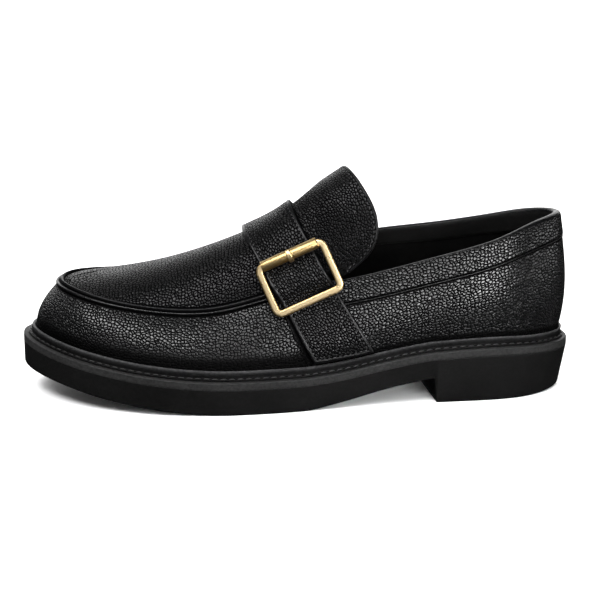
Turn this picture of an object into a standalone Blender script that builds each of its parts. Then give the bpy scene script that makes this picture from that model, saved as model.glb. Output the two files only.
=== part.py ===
"""Buckle loafer for a left foot, built as a shoemaker assembles it.

A welted rubber sole carries a hollow leather upper with a raised apron seam, a free
tongue, an instep strap and a roller buckle. Every size is in millimetres and is scaled
to metres when a mesh is made. The toe points to -X, the outer side of the foot to -Y,
and the floor is the plane Z = 0.
"""

import math
from collections import namedtuple

import bpy
import bmesh
import numpy as np
from mathutils import Vector
from mathutils.bvhtree import BVHTree

MM = 0.001

# Driving sizes
GAP = 0.3
WALL = 2.0
WELT_THICK = 4.0
WELT_ROUND = 0.7
WELT_UNDERLAP = 2.6
BEAD_SHARE = 0.6
BEAD_HEIGHT = 5.2
INSOLE_INSET = 3.0
INSOLE_RISE = 1.6
HEEL_BREAST_X = 73.4
HEEL_BREAST_RUN = 1.5
HEEL_BREAST_Y = -35.0
HEEL_BREAST_SLANT = 0.125
HEEL_BREAST_REACH = 45.0
HEEL_BEVEL = 2.2
HEEL_BEVEL_START = 122.0
TAPER_TOE = 0.2
TAPER_FORE = 1.2
TAPER_HEEL = 4.0
EDGE_ROUND = 1.0

# Apron seam, collar cuff and the line where apron and tongue meet under the strap
SEAM_HEIGHT = 1.8
SEAM_HALF = 2.4
SEAM_TOP_HALF = 1.1
SEAM_FADE_START = -16.0
SEAM_FADE_END = -4.0
CUFF_DEPTH = 14.0
CUFF_SWELL = 1.1
THROAT_X_OUTER = 16.0
THROAT_X_INNER = 16.0
SPINE_FRONT_X = -106.0
SPINE_POWER = 1.35
SPINE_SIDE = 2.0

# Tongue
TONGUE_TILT = 33.5
TONGUE_TOP = (26.4, 1.0, 123.4)
TONGUE_HALF_OUTER = 28.5
TONGUE_HALF_INNER = 24.5
TONGUE_EDGE_IN = 0.965
TONGUE_DEPTH_OUTER = 44.0
TONGUE_DEPTH_INNER = 33.0
TONGUE_THICK = 2.4
TONGUE_ROWS = 8

# Strap, tab and buckle
STRAP_TILT = 30.0
STRAP_CENTRE = 34.2
STRAP_HALF = 15.2
STRAP_WAIST_HALF = 14.6
STRAP_THICK = 2.6
STRAP_LIFT = 0.3
STRAP_AXIS_LIFT = 25.0
STRAP_AXIS_Y = -1.0
STRAP_END_LIFT = 6.8
ROLLER_ANGLE = 27.5
BUCKLE_SHIFT = 2.6
BUCKLE_TURN = 5.5
BUCKLE_DROP = 27.0
FRAME_WIDTH = 41.0
FRAME_BAR = 3.8
FRAME_THICK = 2.4
FRAME_CORNER = 2.6
AXLE_RADIUS = 1.6
ROLLER_RADIUS = 3.0
ROLLER_BORE = 2.0
ROLLER_LENGTH = 30.6
PRONG_HALF = 1.1
PRONG_THICK = 0.7
PRONG_WRAP = 78.0

# Facet counts of the solids
APRON_COLUMNS = 17
COLLAR_COLUMNS = 40
APRON_ROWS = 8
SOLE_STATIONS = 34
STRAP_STEPS = 44
STRAP_LANES = 8

# Height of the welt's upper face and of the tread along the shoe
SoleRow = namedtuple("SoleRow", "x top tread")
SOLE = [
    SoleRow(-150.0, 32.2, 15.2),
    SoleRow(-130.0, 28.6, 12.0),
    SoleRow(-105.0, 24.6, 7.2),
    SoleRow(-80.0, 21.2, 3.2),
    SoleRow(-55.0, 19.2, 0.8),
    SoleRow(-35.0, 18.5, 0.0),
    SoleRow(0.0, 18.6, 0.0),
    SoleRow(22.0, 20.4, 3.4),
    SoleRow(45.0, 24.5, 8.8),
    SoleRow(75.0, 29.2, 13.6),
    SoleRow(105.0, 30.6, 14.5),
    SoleRow(130.0, 29.2, 14.5),
    SoleRow(150.0, 27.2, 14.5),
]

# Round the last, from the back of the heel along the outer side to the toe and back along
# the inner side: a point of the feather line, how far the welt stands out there, and the
# wall above it, which flares, leans in and ends at the apron seam or the topline.
LastRow = namedtuple("LastRow", "x y welt flare top_in top_z lean drop")
LAST = [
    LastRow(142.5, 0.0, 6.0, 8.0, -0.5, 97.0, 3.0, 22.0),
    LastRow(130.5, -20.0, 6.0, 6.5, 2.5, 95.4, 3.5, 22.0),
    LastRow(108.0, -29.7, 6.0, 5.0, 5.0, 88.4, 4.5, 20.0),
    LastRow(75.0, -32.0, 6.1, 4.0, 7.0, 79.2, 5.5, 17.0),
    LastRow(38.0, -35.0, 6.3, 4.0, 9.0, 69.8, 5.5, 14.0),
    LastRow(-5.0, -42.5, 6.8, 3.5, 13.0, 61.5, 4.0, 12.0),
    LastRow(-42.0, -46.5, 7.0, 3.0, 15.0, 52.5, 8.0, 9.0),
    LastRow(-80.0, -42.5, 7.3, 2.8, 15.0, 51.5, 8.0, 7.0),
    LastRow(-110.0, -31.5, 7.8, 3.0, 13.5, 54.5, 8.5, 7.0),
    LastRow(-131.0, -14.0, 8.0, 3.2, 12.5, 57.5, 8.5, 7.5),
    LastRow(-140.5, 6.5, 8.0, 3.4, 12.5, 59.5, 8.5, 8.0),
    LastRow(-132.5, 25.5, 8.0, 3.2, 12.5, 60.5, 8.5, 8.0),
    LastRow(-111.0, 37.5, 7.6, 3.0, 13.5, 60.2, 8.5, 7.5),
    LastRow(-84.0, 42.5, 7.2, 2.8, 14.0, 59.2, 8.0, 7.5),
    LastRow(-55.0, 43.5, 6.8, 3.0, 14.0, 59.5, 7.5, 9.0),
    LastRow(-12.0, 37.5, 6.5, 3.5, 12.0, 68.5, 4.0, 13.0),
    LastRow(35.0, 28.0, 6.3, 4.0, 7.0, 81.8, 5.5, 15.0),
    LastRow(75.0, 28.0, 6.1, 4.0, 6.0, 86.4, 5.5, 18.0),
    LastRow(108.0, 28.2, 6.0, 5.0, 4.5, 90.2, 4.5, 20.0),
    LastRow(130.5, 19.5, 6.0, 6.5, 2.5, 94.4, 3.5, 22.0),
]

# Free edge of the tongue: how far it reaches past its top at angles from the crown
TongueRow = namedtuple("TongueRow", "angle outer inner")
TONGUE_EDGE = [
    TongueRow(0.0, 0.0, 0.0),
    TongueRow(11.0, 1.0, -1.8),
    TongueRow(22.0, 1.9, -3.3),
    TongueRow(33.0, 2.5, -4.7),
    TongueRow(44.0, 2.6, -5.9),
    TongueRow(55.0, 2.2, -7.0),
    TongueRow(65.0, 0.8, -8.6),
    TongueRow(73.0, -1.8, -10.6),
    TongueRow(79.0, -5.0, -13.0),
    TongueRow(84.5, -10.0, -16.5),
    TongueRow(88.0, -16.5, -21.0),
    TongueRow(90.0, -27.0, -27.0),
]

# Crown of the apron along its spine, from the toe to the throat
CrownRow = namedtuple("CrownRow", "x z")
CROWN = [
    CrownRow(-106.0, 64.5),
    CrownRow(-89.0, 67.5),
    CrownRow(-72.0, 71.5),
    CrownRow(-54.0, 77.2),
    CrownRow(-36.5, 83.8),
    CrownRow(-20.0, 91.2),
    CrownRow(-12.0, 95.6),
]


def column(rows, name):
    return np.array([getattr(row, name) for row in rows])


def ease(x):
    x = np.clip(x, 0.0, 1.0)
    return x * x * (3.0 - 2.0 * x)


def smooth_line(xs, ys, x):
    """Cubic through the points that never overshoots, so flat stretches stay flat."""
    h = np.diff(xs)
    d = np.diff(ys) / h
    m = np.concatenate([d[:1], np.zeros(len(d) - 1), d[-1:]])
    same = d[:-1] * d[1:] > 0.0
    w1 = 2.0 * h[1:] + h[:-1]
    w2 = h[1:] + 2.0 * h[:-1]
    a = np.where(same, d[:-1], 1.0)
    b = np.where(same, d[1:], 1.0)
    m[1:-1] = np.where(same, (w1 + w2) / (w1 / a + w2 / b), 0.0)
    x = np.clip(x, xs[0], xs[-1])
    i = np.clip(np.searchsorted(xs, x) - 1, 0, len(h) - 1)
    t = (x - xs[i]) / h[i]
    low = ys[i] * (1.0 + 2.0 * t) * (1.0 - t) ** 2 + m[i] * h[i] * t * (1.0 - t) ** 2
    high = ys[i + 1] * t * t * (3.0 - 2.0 * t) + m[i + 1] * h[i] * t * t * (t - 1.0)
    return low + high


def welt_top(x):
    return smooth_line(column(SOLE, "x"), column(SOLE, "top"), x)


def tread(x, y):
    """Underside of the sole: rocker, flat forefoot, arch, heel block with a bevelled back.

    The heel's front reaches further forward on the inner side.
    """
    fore = smooth_line(column(SOLE, "x"), column(SOLE, "tread"), x)
    back = (np.maximum(x, HEEL_BEVEL_START) - HEEL_BEVEL_START) / (150.0 - HEEL_BEVEL_START)
    breast = HEEL_BREAST_X - HEEL_BREAST_SLANT * (y - HEEL_BREAST_Y)
    return np.where(x > breast, HEEL_BEVEL * back ** 2, fore)


def crown(x):
    return smooth_line(column(CROWN, "x"), column(CROWN, "z"), x)


class Last:
    """Closed smooth curves through the rows of LAST, by distance round the feather line."""

    def __init__(self):
        self.rows = np.array(LAST)
        ring = np.vstack([self.rows, self.rows[:1]])
        self.h = np.linalg.norm(np.diff(ring[:, :2], axis=0), axis=1)
        self.knots = np.concatenate([[0.0], np.cumsum(self.h)])
        self.length = self.knots[-1]
        n = len(self.rows)
        matrix = np.zeros((n, n))
        right = np.zeros_like(self.rows)
        for i in range(n):
            before, after = self.h[i - 1], self.h[i]
            matrix[i, i - 1] += before
            matrix[i, i] += 2.0 * (before + after)
            matrix[i, (i + 1) % n] += after
            step = (ring[i + 1] - ring[i]) / after - (ring[i] - self.rows[i - 1]) / before
            right[i] = 6.0 * step
        self.bend = np.linalg.solve(matrix, right)

    def at(self, u):
        """Values of every column, and the inward normal, at distances u."""
        u = np.mod(u, self.length)
        n = len(self.rows)
        i = np.clip(np.searchsorted(self.knots, u, side="right") - 1, 0, n - 1)
        j = (i + 1) % n
        h = self.h[i][:, None]
        b = (u - self.knots[i])[:, None] / h
        a = 1.0 - b
        value = a * self.rows[i] + b * self.rows[j]
        value += ((a ** 3 - a) * self.bend[i] + (b ** 3 - b) * self.bend[j]) * h * h / 6.0
        slope = (self.rows[j] - self.rows[i]) / h
        slope += ((3 * b * b - 1) * self.bend[j] - (3 * a * a - 1) * self.bend[i]) * h / 6.0
        along = slope[:, :2] / np.linalg.norm(slope[:, :2], axis=1, keepdims=True)
        inward = np.stack([along[:, 1], -along[:, 0]], axis=1)
        return LastRow(*value.T), inward

    def where_x(self, x, outer):
        """Distance u at which the outer or inner side passes x."""
        u = np.linspace(0.0, self.length, 2000)
        row, _ = self.at(u)
        toe = np.argmin(row.x)
        side = slice(0, toe + 1) if outer else slice(toe, None)
        order = np.argsort(row.x[side])
        return float(np.interp(x, row.x[side][order], u[side][order]))

    def toe(self):
        u = np.linspace(0.0, self.length, 4000)
        row, _ = self.at(u)
        return float(u[np.argmin(row.x)])

    def outline(self, offset_of, u):
        """Plan points of the feather line moved outward by offset_of(row)."""
        row, inward = self.at(u)
        offset = np.asarray(offset_of(row))[..., None]
        return np.stack([row.x, row.y], axis=1) - inward * offset


last = Last()
welt_edge = last.outline(lambda row: row.welt, np.linspace(0.0, last.length, 2000))
TO_CENTRE = np.array([*(-0.5 * (welt_edge.min(axis=0) + welt_edge.max(axis=0))), 0.0])


def wall_points(u, t):
    """Outer face of the side wall at distances u and rises t (0 feather line, 1 top)."""
    row, inward = last.at(u)
    foot = welt_top(row.x) + GAP
    rise = row.top_z - foot
    t = np.asarray(t)
    b0 = (1.0 - t) ** 3
    b1 = 3.0 * t * (1.0 - t) ** 2
    b2 = 3.0 * t * t * (1.0 - t)
    b3 = t ** 3
    inset = -row.flare * b1 + (row.top_in - row.lean) * b2 + row.top_in * b3
    z = foot * b0 + (foot + 0.36 * rise) * b1 + (row.top_z - row.drop) * b2 + row.top_z * b3
    plan = np.stack([row.x, row.y], axis=1) + inward * inset[:, None]
    return np.column_stack([plan, z])


def wall_length(u):
    t = np.linspace(0.0, 1.0, 25)
    rows = [wall_points(u, np.full(len(u), k)) for k in t]
    return sum(np.linalg.norm(b - a, axis=1) for a, b in zip(rows[:-1], rows[1:]))


def spine_point(a, seam_outer, seam_inner):
    """Crown point that an apron row (0 toe, 1 throat) passes through."""
    x = SPINE_FRONT_X + (CROWN[-1].x - SPINE_FRONT_X) * a ** SPINE_POWER
    y = 0.5 * (seam_outer[:, 1] + seam_inner[:, 1]) + SPINE_SIDE
    return np.column_stack([x, y, crown(x)])


def apron_points(seam, spine, a, v):
    """Apron from the seam (v 0) to the spine (v 1), rounder towards the instep."""
    run = spine[:, :2] - seam[:, :2]
    rise = spine[:, 2] - seam[:, 2]
    slope = (crown(spine[:, 0] + 0.5) - crown(spine[:, 0] - 0.5)) * run[:, 0]
    start_run = 0.33 - 0.21 * a
    end_run = 0.33 + 0.20 * a
    b1 = 3.0 * v * (1.0 - v) ** 2
    b2 = 3.0 * v * v * (1.0 - v)
    b3 = v ** 3
    along = start_run * b1 + (1.0 - end_run) * b2 + b3
    z = seam[:, 2] + rise * (0.6 * b1 + b2 + b3) - slope * end_run * b2
    return np.column_stack([seam[:, :2] + run * along[:, None], z])


def face_normals_to_points(points, faces):
    """Unit normals at the points, averaged over the faces round each."""
    normal = np.zeros_like(points)
    for face in faces:
        corner = points[list(face)]
        total = sum(np.cross(corner[i] - corner[0], corner[i + 1] - corner[0])
                    for i in range(1, len(face) - 1))
        for index in face:
            normal[index] += total
    return normal / np.linalg.norm(normal, axis=1, keepdims=True)


def close_shell(outer, inner, faces):
    """Join an outer and an inner skin of the same faces along every free edge."""
    count = len(outer)
    seen = {}
    for face in faces:
        for a, b in zip(face, face[1:] + face[:1]):
            seen[(a, b)] = True
    rim = [(b, a, a + count, b + count) for (a, b) in seen if (b, a) not in seen]
    back = [tuple(index + count for index in reversed(face)) for face in faces]
    return np.vstack([outer, inner]), [tuple(f) for f in faces] + back + rim


def ring_faces(columns, rows):
    """Quads of a closed tube: columns round the shoe, rows round the section."""
    faces = []
    for i in range(columns):
        for j in range(rows):
            k, m = (i + 1) % columns, (j + 1) % rows
            faces.append((i * rows + j, k * rows + j, k * rows + m, i * rows + m))
    return faces


def add_part(name, points, faces, colour, roughness, metallic=0.0, sharp=35.0):
    """Closed solid, moved so that the middle of the welt's outline stands on the origin."""
    mesh = bpy.data.meshes.new(name)
    placed = (np.asarray(points) + TO_CENTRE) * MM
    mesh.from_pydata(placed.tolist(), [], [list(f) for f in faces])
    work = bmesh.new()
    work.from_mesh(mesh)
    bmesh.ops.remove_doubles(work, verts=work.verts, dist=0.02 * MM)
    bmesh.ops.recalc_face_normals(work, faces=work.faces)
    for edge in work.edges:
        edge.smooth = edge.calc_face_angle(0.0) < math.radians(sharp)
    for face in work.faces:
        face.smooth = True
    work.to_mesh(mesh)
    work.free()
    material = bpy.data.materials.new(name + "_material")
    material.use_nodes = True
    shader = material.node_tree.nodes["Principled BSDF"]
    shader.inputs["Base Color"].default_value = (*colour, 1.0)
    shader.inputs["Roughness"].default_value = roughness
    shader.inputs["Metallic"].default_value = metallic
    mesh.materials.append(material)
    node = bpy.data.objects.new(name, mesh)
    bpy.context.scene.collection.objects.link(node)
    return node


LEATHER = (0.012, 0.012, 0.013)
LINING = (0.02, 0.018, 0.016)
RUBBER = (0.010, 0.010, 0.010)
WELT_GREY = (0.045, 0.045, 0.045)
GOLD = (0.83, 0.68, 0.42)


def seam_fade(x):
    """The apron seam runs flat where the strap lies over it."""
    return 1.0 - ease((x - SEAM_FADE_START) / (SEAM_FADE_END - SEAM_FADE_START))


def upper_skins():
    """Outer and inner skin of the upper, and the throat edge that the tongue continues."""
    n = APRON_COLUMNS
    toe = last.toe()
    outer_throat = last.where_x(THROAT_X_OUTER, True)
    inner_throat = last.where_x(THROAT_X_INNER, False)
    a = np.linspace(0.0, 1.0, n + 1) ** 1.1
    outer_u = toe + (outer_throat - toe) * a[::-1]
    inner_u = toe + (inner_throat - toe) * a[1:]
    span = outer_throat + last.length - inner_throat
    collar_u = inner_throat + span * np.arange(1, COLLAR_COLUMNS) / COLLAR_COLUMNS
    u = np.concatenate([outer_u, inner_u, collar_u])
    apron_count = 2 * n + 1
    in_apron = np.arange(len(u)) < apron_count
    length = wall_length(u)

    # Rows of the wall: fractions low down, distances from its upper edge higher up
    low = [0.0, 0.16, 0.36]
    apron_from_top = [13.0, 7.0, SEAM_HALF, SEAM_TOP_HALF]
    collar_from_top = [CUFF_DEPTH + 2.0, CUFF_DEPTH - 1.0, 0.5 * CUFF_DEPTH, 0.0]
    rows_t = [np.full(len(u), value) for value in low]
    for d_apron, d_collar in zip(apron_from_top, collar_from_top):
        mix = np.where(in_apron, d_apron, d_collar)
        rows_t.append(1.0 - mix / length)
    grid = np.stack([wall_points(u, t) for t in rows_t], axis=1)
    rows = grid.shape[1]
    points = [grid.reshape(-1, 3)]
    relief = np.zeros(grid.shape[:2])
    relief[:, -1] = np.where(in_apron, SEAM_HEIGHT * seam_fade(grid[:, -1, 0]), 0.6 * CUFF_SWELL)
    relief[:, -2] = np.where(in_apron, 0.0, CUFF_SWELL)
    relief[:, -3] = np.where(in_apron, 0.0, 0.8 * CUFF_SWELL)
    lift = [relief.reshape(-1)]
    count = len(u)
    faces = []
    for i in range(count):
        k = (i + 1) % count
        for j in range(rows - 1):
            faces.append((i * rows + j, k * rows + j, k * rows + j + 1, i * rows + j + 1))

    # Apron columns of both sides run in to a shared spine
    seam = wall_points(u[:apron_count], np.ones(apron_count))
    step = np.abs(np.arange(apron_count) - n)
    spine = spine_point(a, seam[n - np.arange(n + 1)], seam[n + np.arange(n + 1)])
    ends = spine[step]
    reach = np.linalg.norm(ends - seam, axis=1)
    strips = []
    lifts = []
    row_v = [SEAM_TOP_HALF / reach, SEAM_HALF / reach]
    for k in range(1, APRON_ROWS):
        row_v.append(SEAM_HALF / reach + (1.0 - SEAM_HALF / reach) * k / APRON_ROWS)
    for k, v in enumerate(row_v):
        strips.append(apron_points(seam, ends, a[step], v))
        lifts.append(SEAM_HEIGHT * seam_fade(seam[:, 0]) if k == 0 else np.zeros(apron_count))
    base = count * rows
    strip_rows = len(strips)
    points += strips
    lift += lifts
    points.append(spine)
    lift.append(np.zeros(n + 1))
    first_spine = base + strip_rows * apron_count

    def apron_index(column_index, row_index):
        if row_index < 0:
            return column_index * rows + rows - 1
        if row_index >= strip_rows:
            return first_spine + int(step[column_index])
        return base + row_index * apron_count + column_index

    for i in range(apron_count - 1):
        for j in range(-1, strip_rows):
            faces.append((apron_index(i, j), apron_index(i + 1, j),
                          apron_index(i + 1, j + 1), apron_index(i, j + 1)))
    points = np.vstack(points)
    lift = np.concatenate(lift)
    normal = face_normals_to_points(points, faces)
    if normal[0] @ (points[0] - np.array([0.0, 0.0, points[0, 2]])) < 0.0:
        normal = -normal
    outer = points + normal * lift[:, None]
    inner = points - normal * WALL
    throat = [apron_index(0, j) for j in range(-1, strip_rows + 1)]
    throat += [apron_index(apron_count - 1, j) for j in range(strip_rows - 1, -2, -1)]
    return outer, inner, faces, outer[throat]


def tongue_skins(throat):
    """Arched sheet that carries the apron on above the throat, with rounded wings."""
    tilt = math.radians(TONGUE_TILT)
    along = np.array([math.cos(tilt), 0.0, math.sin(tilt)])
    up = np.array([-math.sin(tilt), 0.0, math.cos(tilt)])
    top = np.array(TONGUE_TOP)
    edge = np.array(TONGUE_EDGE)
    angle = np.radians(np.concatenate([-edge[:0:-1, 0], edge[:, 0]]))
    end_a = np.concatenate([edge[:0:-1, 1], edge[:, 2]])
    side = np.where(angle < 0.0, top[1] - throat[0, 1], throat[-1, 1] - top[1])
    side *= TONGUE_EDGE_IN * np.sin(angle)
    base = np.column_stack([np.interp(top[1] + side, throat[:, 1], throat[:, k])
                            for k in range(3)])
    base_a = (base - top) @ along
    depth = np.where(angle < 0.0, TONGUE_DEPTH_OUTER, TONGUE_DEPTH_INNER)
    half = np.where(angle < 0.0, TONGUE_HALF_OUTER, TONGUE_HALF_INNER)

    def arch(a):
        points = top + np.outer(a, along) - np.outer(depth * (1.0 - np.cos(angle)), up)
        points[:, 1] += half * np.sin(angle)
        return points

    fit = base - arch(base_a)
    rows = []
    for f in np.linspace(0.0, 1.0, TONGUE_ROWS + 1):
        rows.append(arch(base_a + (end_a - base_a) * f) + fit * (1.0 - ease(f / 0.7)))
    points = np.vstack(rows)
    width = len(angle)
    faces = []
    for k in range(TONGUE_ROWS):
        for j in range(width - 1):
            faces.append((k * width + j, k * width + j + 1,
                          (k + 1) * width + j + 1, (k + 1) * width + j))
    normal = face_normals_to_points(points, faces)
    normal *= math.copysign(1.0, normal[width // 2, 2])
    return points, points - normal * TONGUE_THICK, faces, along


class StrapPath:
    """Wraps a strap round upper and tongue in planes square to the instep."""

    def __init__(self, skins):
        tilt = math.radians(STRAP_TILT)
        self.wide = np.array([math.cos(tilt), 0.0, math.sin(tilt)])
        self.up = np.array([-math.sin(tilt), 0.0, math.cos(tilt)])
        points = []
        faces = []
        for skin, skin_faces in skins:
            start = len(points)
            points += [Vector(p) for p in skin]
            faces += [[start + index for index in face] for face in skin_faces]
        self.tree = BVHTree.FromPolygons(points, faces)
        self.angles = np.radians(np.linspace(-130.0, 130.0, 261))
        self.lanes = np.linspace(-STRAP_HALF - 4.0, STRAP_HALF + 4.0, 27)
        self.radius = np.array([[self.cast(lane, angle) for angle in self.angles]
                                for lane in self.lanes])
        # Rays that slip between tongue and topline are bridged
        for line in self.radius:
            good = line > 12.0
            line[~good] = np.interp(self.angles[~good], self.angles[good], line[good])
        spread = self.radius.copy()
        spread[1:] = np.maximum(spread[1:], self.radius[:-1])
        spread[:-1] = np.maximum(spread[:-1], self.radius[1:])
        for step in (-1, 1):
            spread = np.maximum(spread, np.roll(spread, step, axis=1))
        self.radius = spread
        window = np.hanning(13)
        window /= window.sum()
        for k in range(len(self.lanes)):
            line = np.pad(self.radius[k], 6, mode="edge")
            soft = np.convolve(line, window, mode="valid")
            self.radius[k] = np.maximum(self.radius[k], soft)

    def origin(self, lane):
        return ((STRAP_CENTRE + lane) * self.wide + STRAP_AXIS_LIFT * self.up
                + np.array([0.0, STRAP_AXIS_Y, 0.0]))

    def direction(self, angle):
        return math.cos(angle) * self.up + math.sin(angle) * np.array([0.0, -1.0, 0.0])

    def cast(self, lane, angle):
        start = self.origin(lane)
        ray = self.direction(angle)
        hit = self.tree.ray_cast(Vector(start + 200.0 * ray), Vector(-ray))
        return 0.0 if hit[0] is None else 200.0 - hit[3]

    def point(self, lane, angle, lift):
        column_at = np.array([np.interp(angle, self.angles, line) for line in self.radius])
        radius = np.interp(lane, self.lanes, column_at)
        return self.origin(lane) + (radius + lift) * self.direction(angle)


def strap_body(path, angles, half_at):
    """Closed strip; angles holds one row per step and one column per lane."""
    lanes = np.linspace(-1.0, 1.0, STRAP_LANES + 1)
    base = np.array([[path.point(lane * half_at[k], angles[k][i], STRAP_LIFT)
                      for i, lane in enumerate(lanes)] for k in range(len(angles))])
    count, width = base.shape[:2]
    points = base.reshape(-1, 3)
    faces = []
    for k in range(count - 1):
        for j in range(width - 1):
            faces.append((k * width + j, k * width + j + 1,
                          (k + 1) * width + j + 1, (k + 1) * width + j))
    normal = face_normals_to_points(points, faces)
    middle = count // 2 * width + width // 2
    if normal[middle] @ (points[middle] - path.origin(0.0)) < 0.0:
        normal = -normal
    outer = points + normal * STRAP_THICK
    return close_shell(outer, points, faces)


def strap_end_angle(path, lane, sign):
    """Angle at which a lane of the strap comes down to just above the welt bead."""
    for degrees in np.arange(60.0, 129.0, 0.25):
        angle = sign * math.radians(degrees)
        point = path.point(lane, angle, STRAP_LIFT)
        if point[2] < welt_top(point[:1])[0] + STRAP_END_LIFT:
            return angle
    return sign * math.radians(129.0)


def stations():
    """Fractions of the sole's length, closer together at both rounded ends."""
    return 0.5 - 0.5 * np.cos(np.linspace(0.0, math.pi, SOLE_STATIONS + 1))


def side_points(offset_of, fractions):
    """Outer and inner plan points of an offset feather line at fractions of its length.

    Near the heel's front the inner points move forward, in line with its slant.
    """
    u = np.linspace(0.0, last.length, 3000, endpoint=False)
    plan = last.outline(offset_of, u)
    heel = int(np.argmax(plan[:, 0]))
    plan = np.roll(plan, -heel, axis=0)
    toe = int(np.argmin(plan[:, 0]))
    x = plan[toe, 0] + (plan[0, 0] - plan[toe, 0]) * fractions
    first = plan[:toe + 1][::-1]
    second = np.vstack([plan[toe:], plan[:1]])
    outer = np.column_stack([x, np.interp(x, first[:, 0], first[:, 1])])
    width = np.interp(x, second[:, 0], second[:, 1]) - outer[:, 1]
    near_breast = ease(1.1 - np.abs(x - HEEL_BREAST_X) / HEEL_BREAST_REACH)
    inner_x = x - HEEL_BREAST_SLANT * width * near_breast
    inner = np.column_stack([inner_x, np.interp(inner_x, second[:, 0], second[:, 1])])
    return outer, inner


def slab(levels):
    """Solid between plan loops: levels lists (outer, inner, height function) downwards."""
    loops = []
    for outer, inner, height in levels:
        plan = np.vstack([outer, inner[1:-1][::-1]])
        loops.append(np.column_stack([plan, height(*plan.T)]))
    n = len(levels[0][0])
    count = len(loops[0])
    faces = []
    for level in range(len(loops) - 1):
        for i in range(count):
            k = (i + 1) % count
            a, b = level * count, (level + 1) * count
            faces.append((a + i, a + k, b + k, b + i))

    def inner_index(i):
        return i if i in (0, n - 1) else count - i

    for base, flip in ((0, False), ((len(loops) - 1) * count, True)):
        for i in range(n - 1):
            face = [base + i, base + i + 1, base + inner_index(i + 1), base + inner_index(i)]
            face = list(dict.fromkeys(face))
            faces.append(tuple(reversed(face)) if flip else tuple(face))
    return np.vstack(loops), faces


def taper(row):
    fore = TAPER_TOE + (TAPER_FORE - TAPER_TOE) * ease((row.x + 140.0) / 60.0)
    return fore + (TAPER_HEEL - TAPER_FORE) * ease((row.x - 40.0) / 60.0)


def make_outsole():
    f = stations()
    low = side_points(lambda row: row.welt - taper(row), f)
    # Two stations stand at the heel breast on the tread
    length = low[0][-1, 0] - low[0][0, 0]
    near = [(HEEL_BREAST_X + side * 0.5 * HEEL_BREAST_RUN - low[0][0, 0]) / length
            for side in (-1.0, 1.0)]
    f = np.sort(np.concatenate([f[np.abs(f - near[0]) > 0.012], near]))
    top = side_points(lambda row: row.welt, f)
    edge = side_points(lambda row: row.welt - taper(row) + 0.1, f)
    low = side_points(lambda row: row.welt - taper(row) - EDGE_ROUND, f)
    points, faces = slab([
        (*top, lambda x, y: welt_top(x) - WELT_THICK - GAP),
        (*edge, lambda x, y: tread(x, y) + EDGE_ROUND),
        (*low, tread),
    ])
    add_part("outsole", points, faces, RUBBER, 0.55)


def make_insole():
    f = stations()
    sides = side_points(lambda row: np.full(len(row.x), -INSOLE_INSET), f)
    points, faces = slab([
        (*sides, lambda x, y: welt_top(x) + INSOLE_RISE),
        (*sides, lambda x, y: welt_top(x) - WELT_THICK),
    ])
    add_part("insole", points, faces, LINING, 0.8)


def loop_places(count):
    """Even distances round the feather line."""
    return np.linspace(0.0, last.length, count, endpoint=False)


def make_welt():
    """Flat strip with a rounded upper edge, from under the upper out to the sole's edge."""
    u = loop_places(96)
    outside = last.outline(lambda row: row.welt, u)
    rounded = last.outline(lambda row: row.welt - WELT_ROUND, u)
    inside = last.outline(lambda row: np.full(len(row.x), -WELT_UNDERLAP), u)
    section = []
    for plan, drop in ((outside, WELT_ROUND), (outside, WELT_THICK), (inside, WELT_THICK),
                       (inside, 0.0), (rounded, 0.0)):
        section.append(np.column_stack([plan, welt_top(plan[:, 0]) - drop]))
    points = np.stack(section, axis=1).reshape(-1, 3)
    add_part("welt", points, ring_faces(len(u), 5), WELT_GREY, 0.6)


def wall_offset(u, height):
    """How far the wall stands outside the feather line at a height above the welt."""
    t = np.linspace(0.0, 0.4, 41)
    rows = np.stack([wall_points(u, np.full(len(u), k)) for k in t], axis=1)
    row, inward = last.at(u)
    plan = np.stack([row.x, row.y], axis=1)
    out = -np.einsum("ijk,ik->ij", rows[:, :, :2] - plan[:, None], inward)
    rise = rows[:, :, 2] - welt_top(row.x)[:, None]
    return np.array([np.interp(height, r, o) for r, o in zip(rise, out)])


def make_bead():
    """Rolled storm bead: its inner face follows the wall, its foot carries the stitches."""
    u = loop_places(100)
    row, _ = last.at(u)
    width = BEAD_SHARE * row.welt
    base = wall_offset(u, 0.5) + GAP
    shape = [(0.0, GAP / BEAD_HEIGHT), (0.0, 0.45), (0.0, 0.9), (0.24, 1.0), (0.5, 0.82),
             (0.62, 0.42), (1.0, 0.2), (1.0, GAP / BEAD_HEIGHT)]
    section = []
    for out, rise in shape:
        lean = wall_offset(u, max(rise * BEAD_HEIGHT, 0.5)) + GAP
        stand = (lean if out < 0.6 else base) + out * width
        plan = last.outline(lambda row: stand, u)
        section.append(np.column_stack([plan, welt_top(plan[:, 0]) + rise * BEAD_HEIGHT]))
    points = np.stack(section, axis=1).reshape(-1, 3)
    add_part("welt_bead", points, ring_faces(len(u), len(shape)), RUBBER, 0.4)


def sweep(centres, across, upward, sections, closed):
    """Tube through centres; sections are (half across, half up, roundness) at each."""
    count = 12
    rings = []
    for centre, side, lift, (half_a, half_b, power) in zip(centres, across, upward, sections):
        for k in range(count):
            phi = 2.0 * math.pi * (k + 0.5) / count
            c, s = math.cos(phi), math.sin(phi)
            a = math.copysign(abs(c) ** (2.0 / power), c) * half_a
            b = math.copysign(abs(s) ** (2.0 / power), s) * half_b
            rings.append(centre + side * a + lift * b)
    number = len(centres)
    faces = []
    for i in range(number if closed else number - 1):
        k = (i + 1) % number
        for j in range(count):
            m = (j + 1) % count
            faces.append((i * count + j, k * count + j, k * count + m, i * count + m))
    if not closed:
        faces.append(tuple(range(count)))
        faces.append(tuple(reversed(range((number - 1) * count, number * count))))
    return np.array(rings), faces


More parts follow.
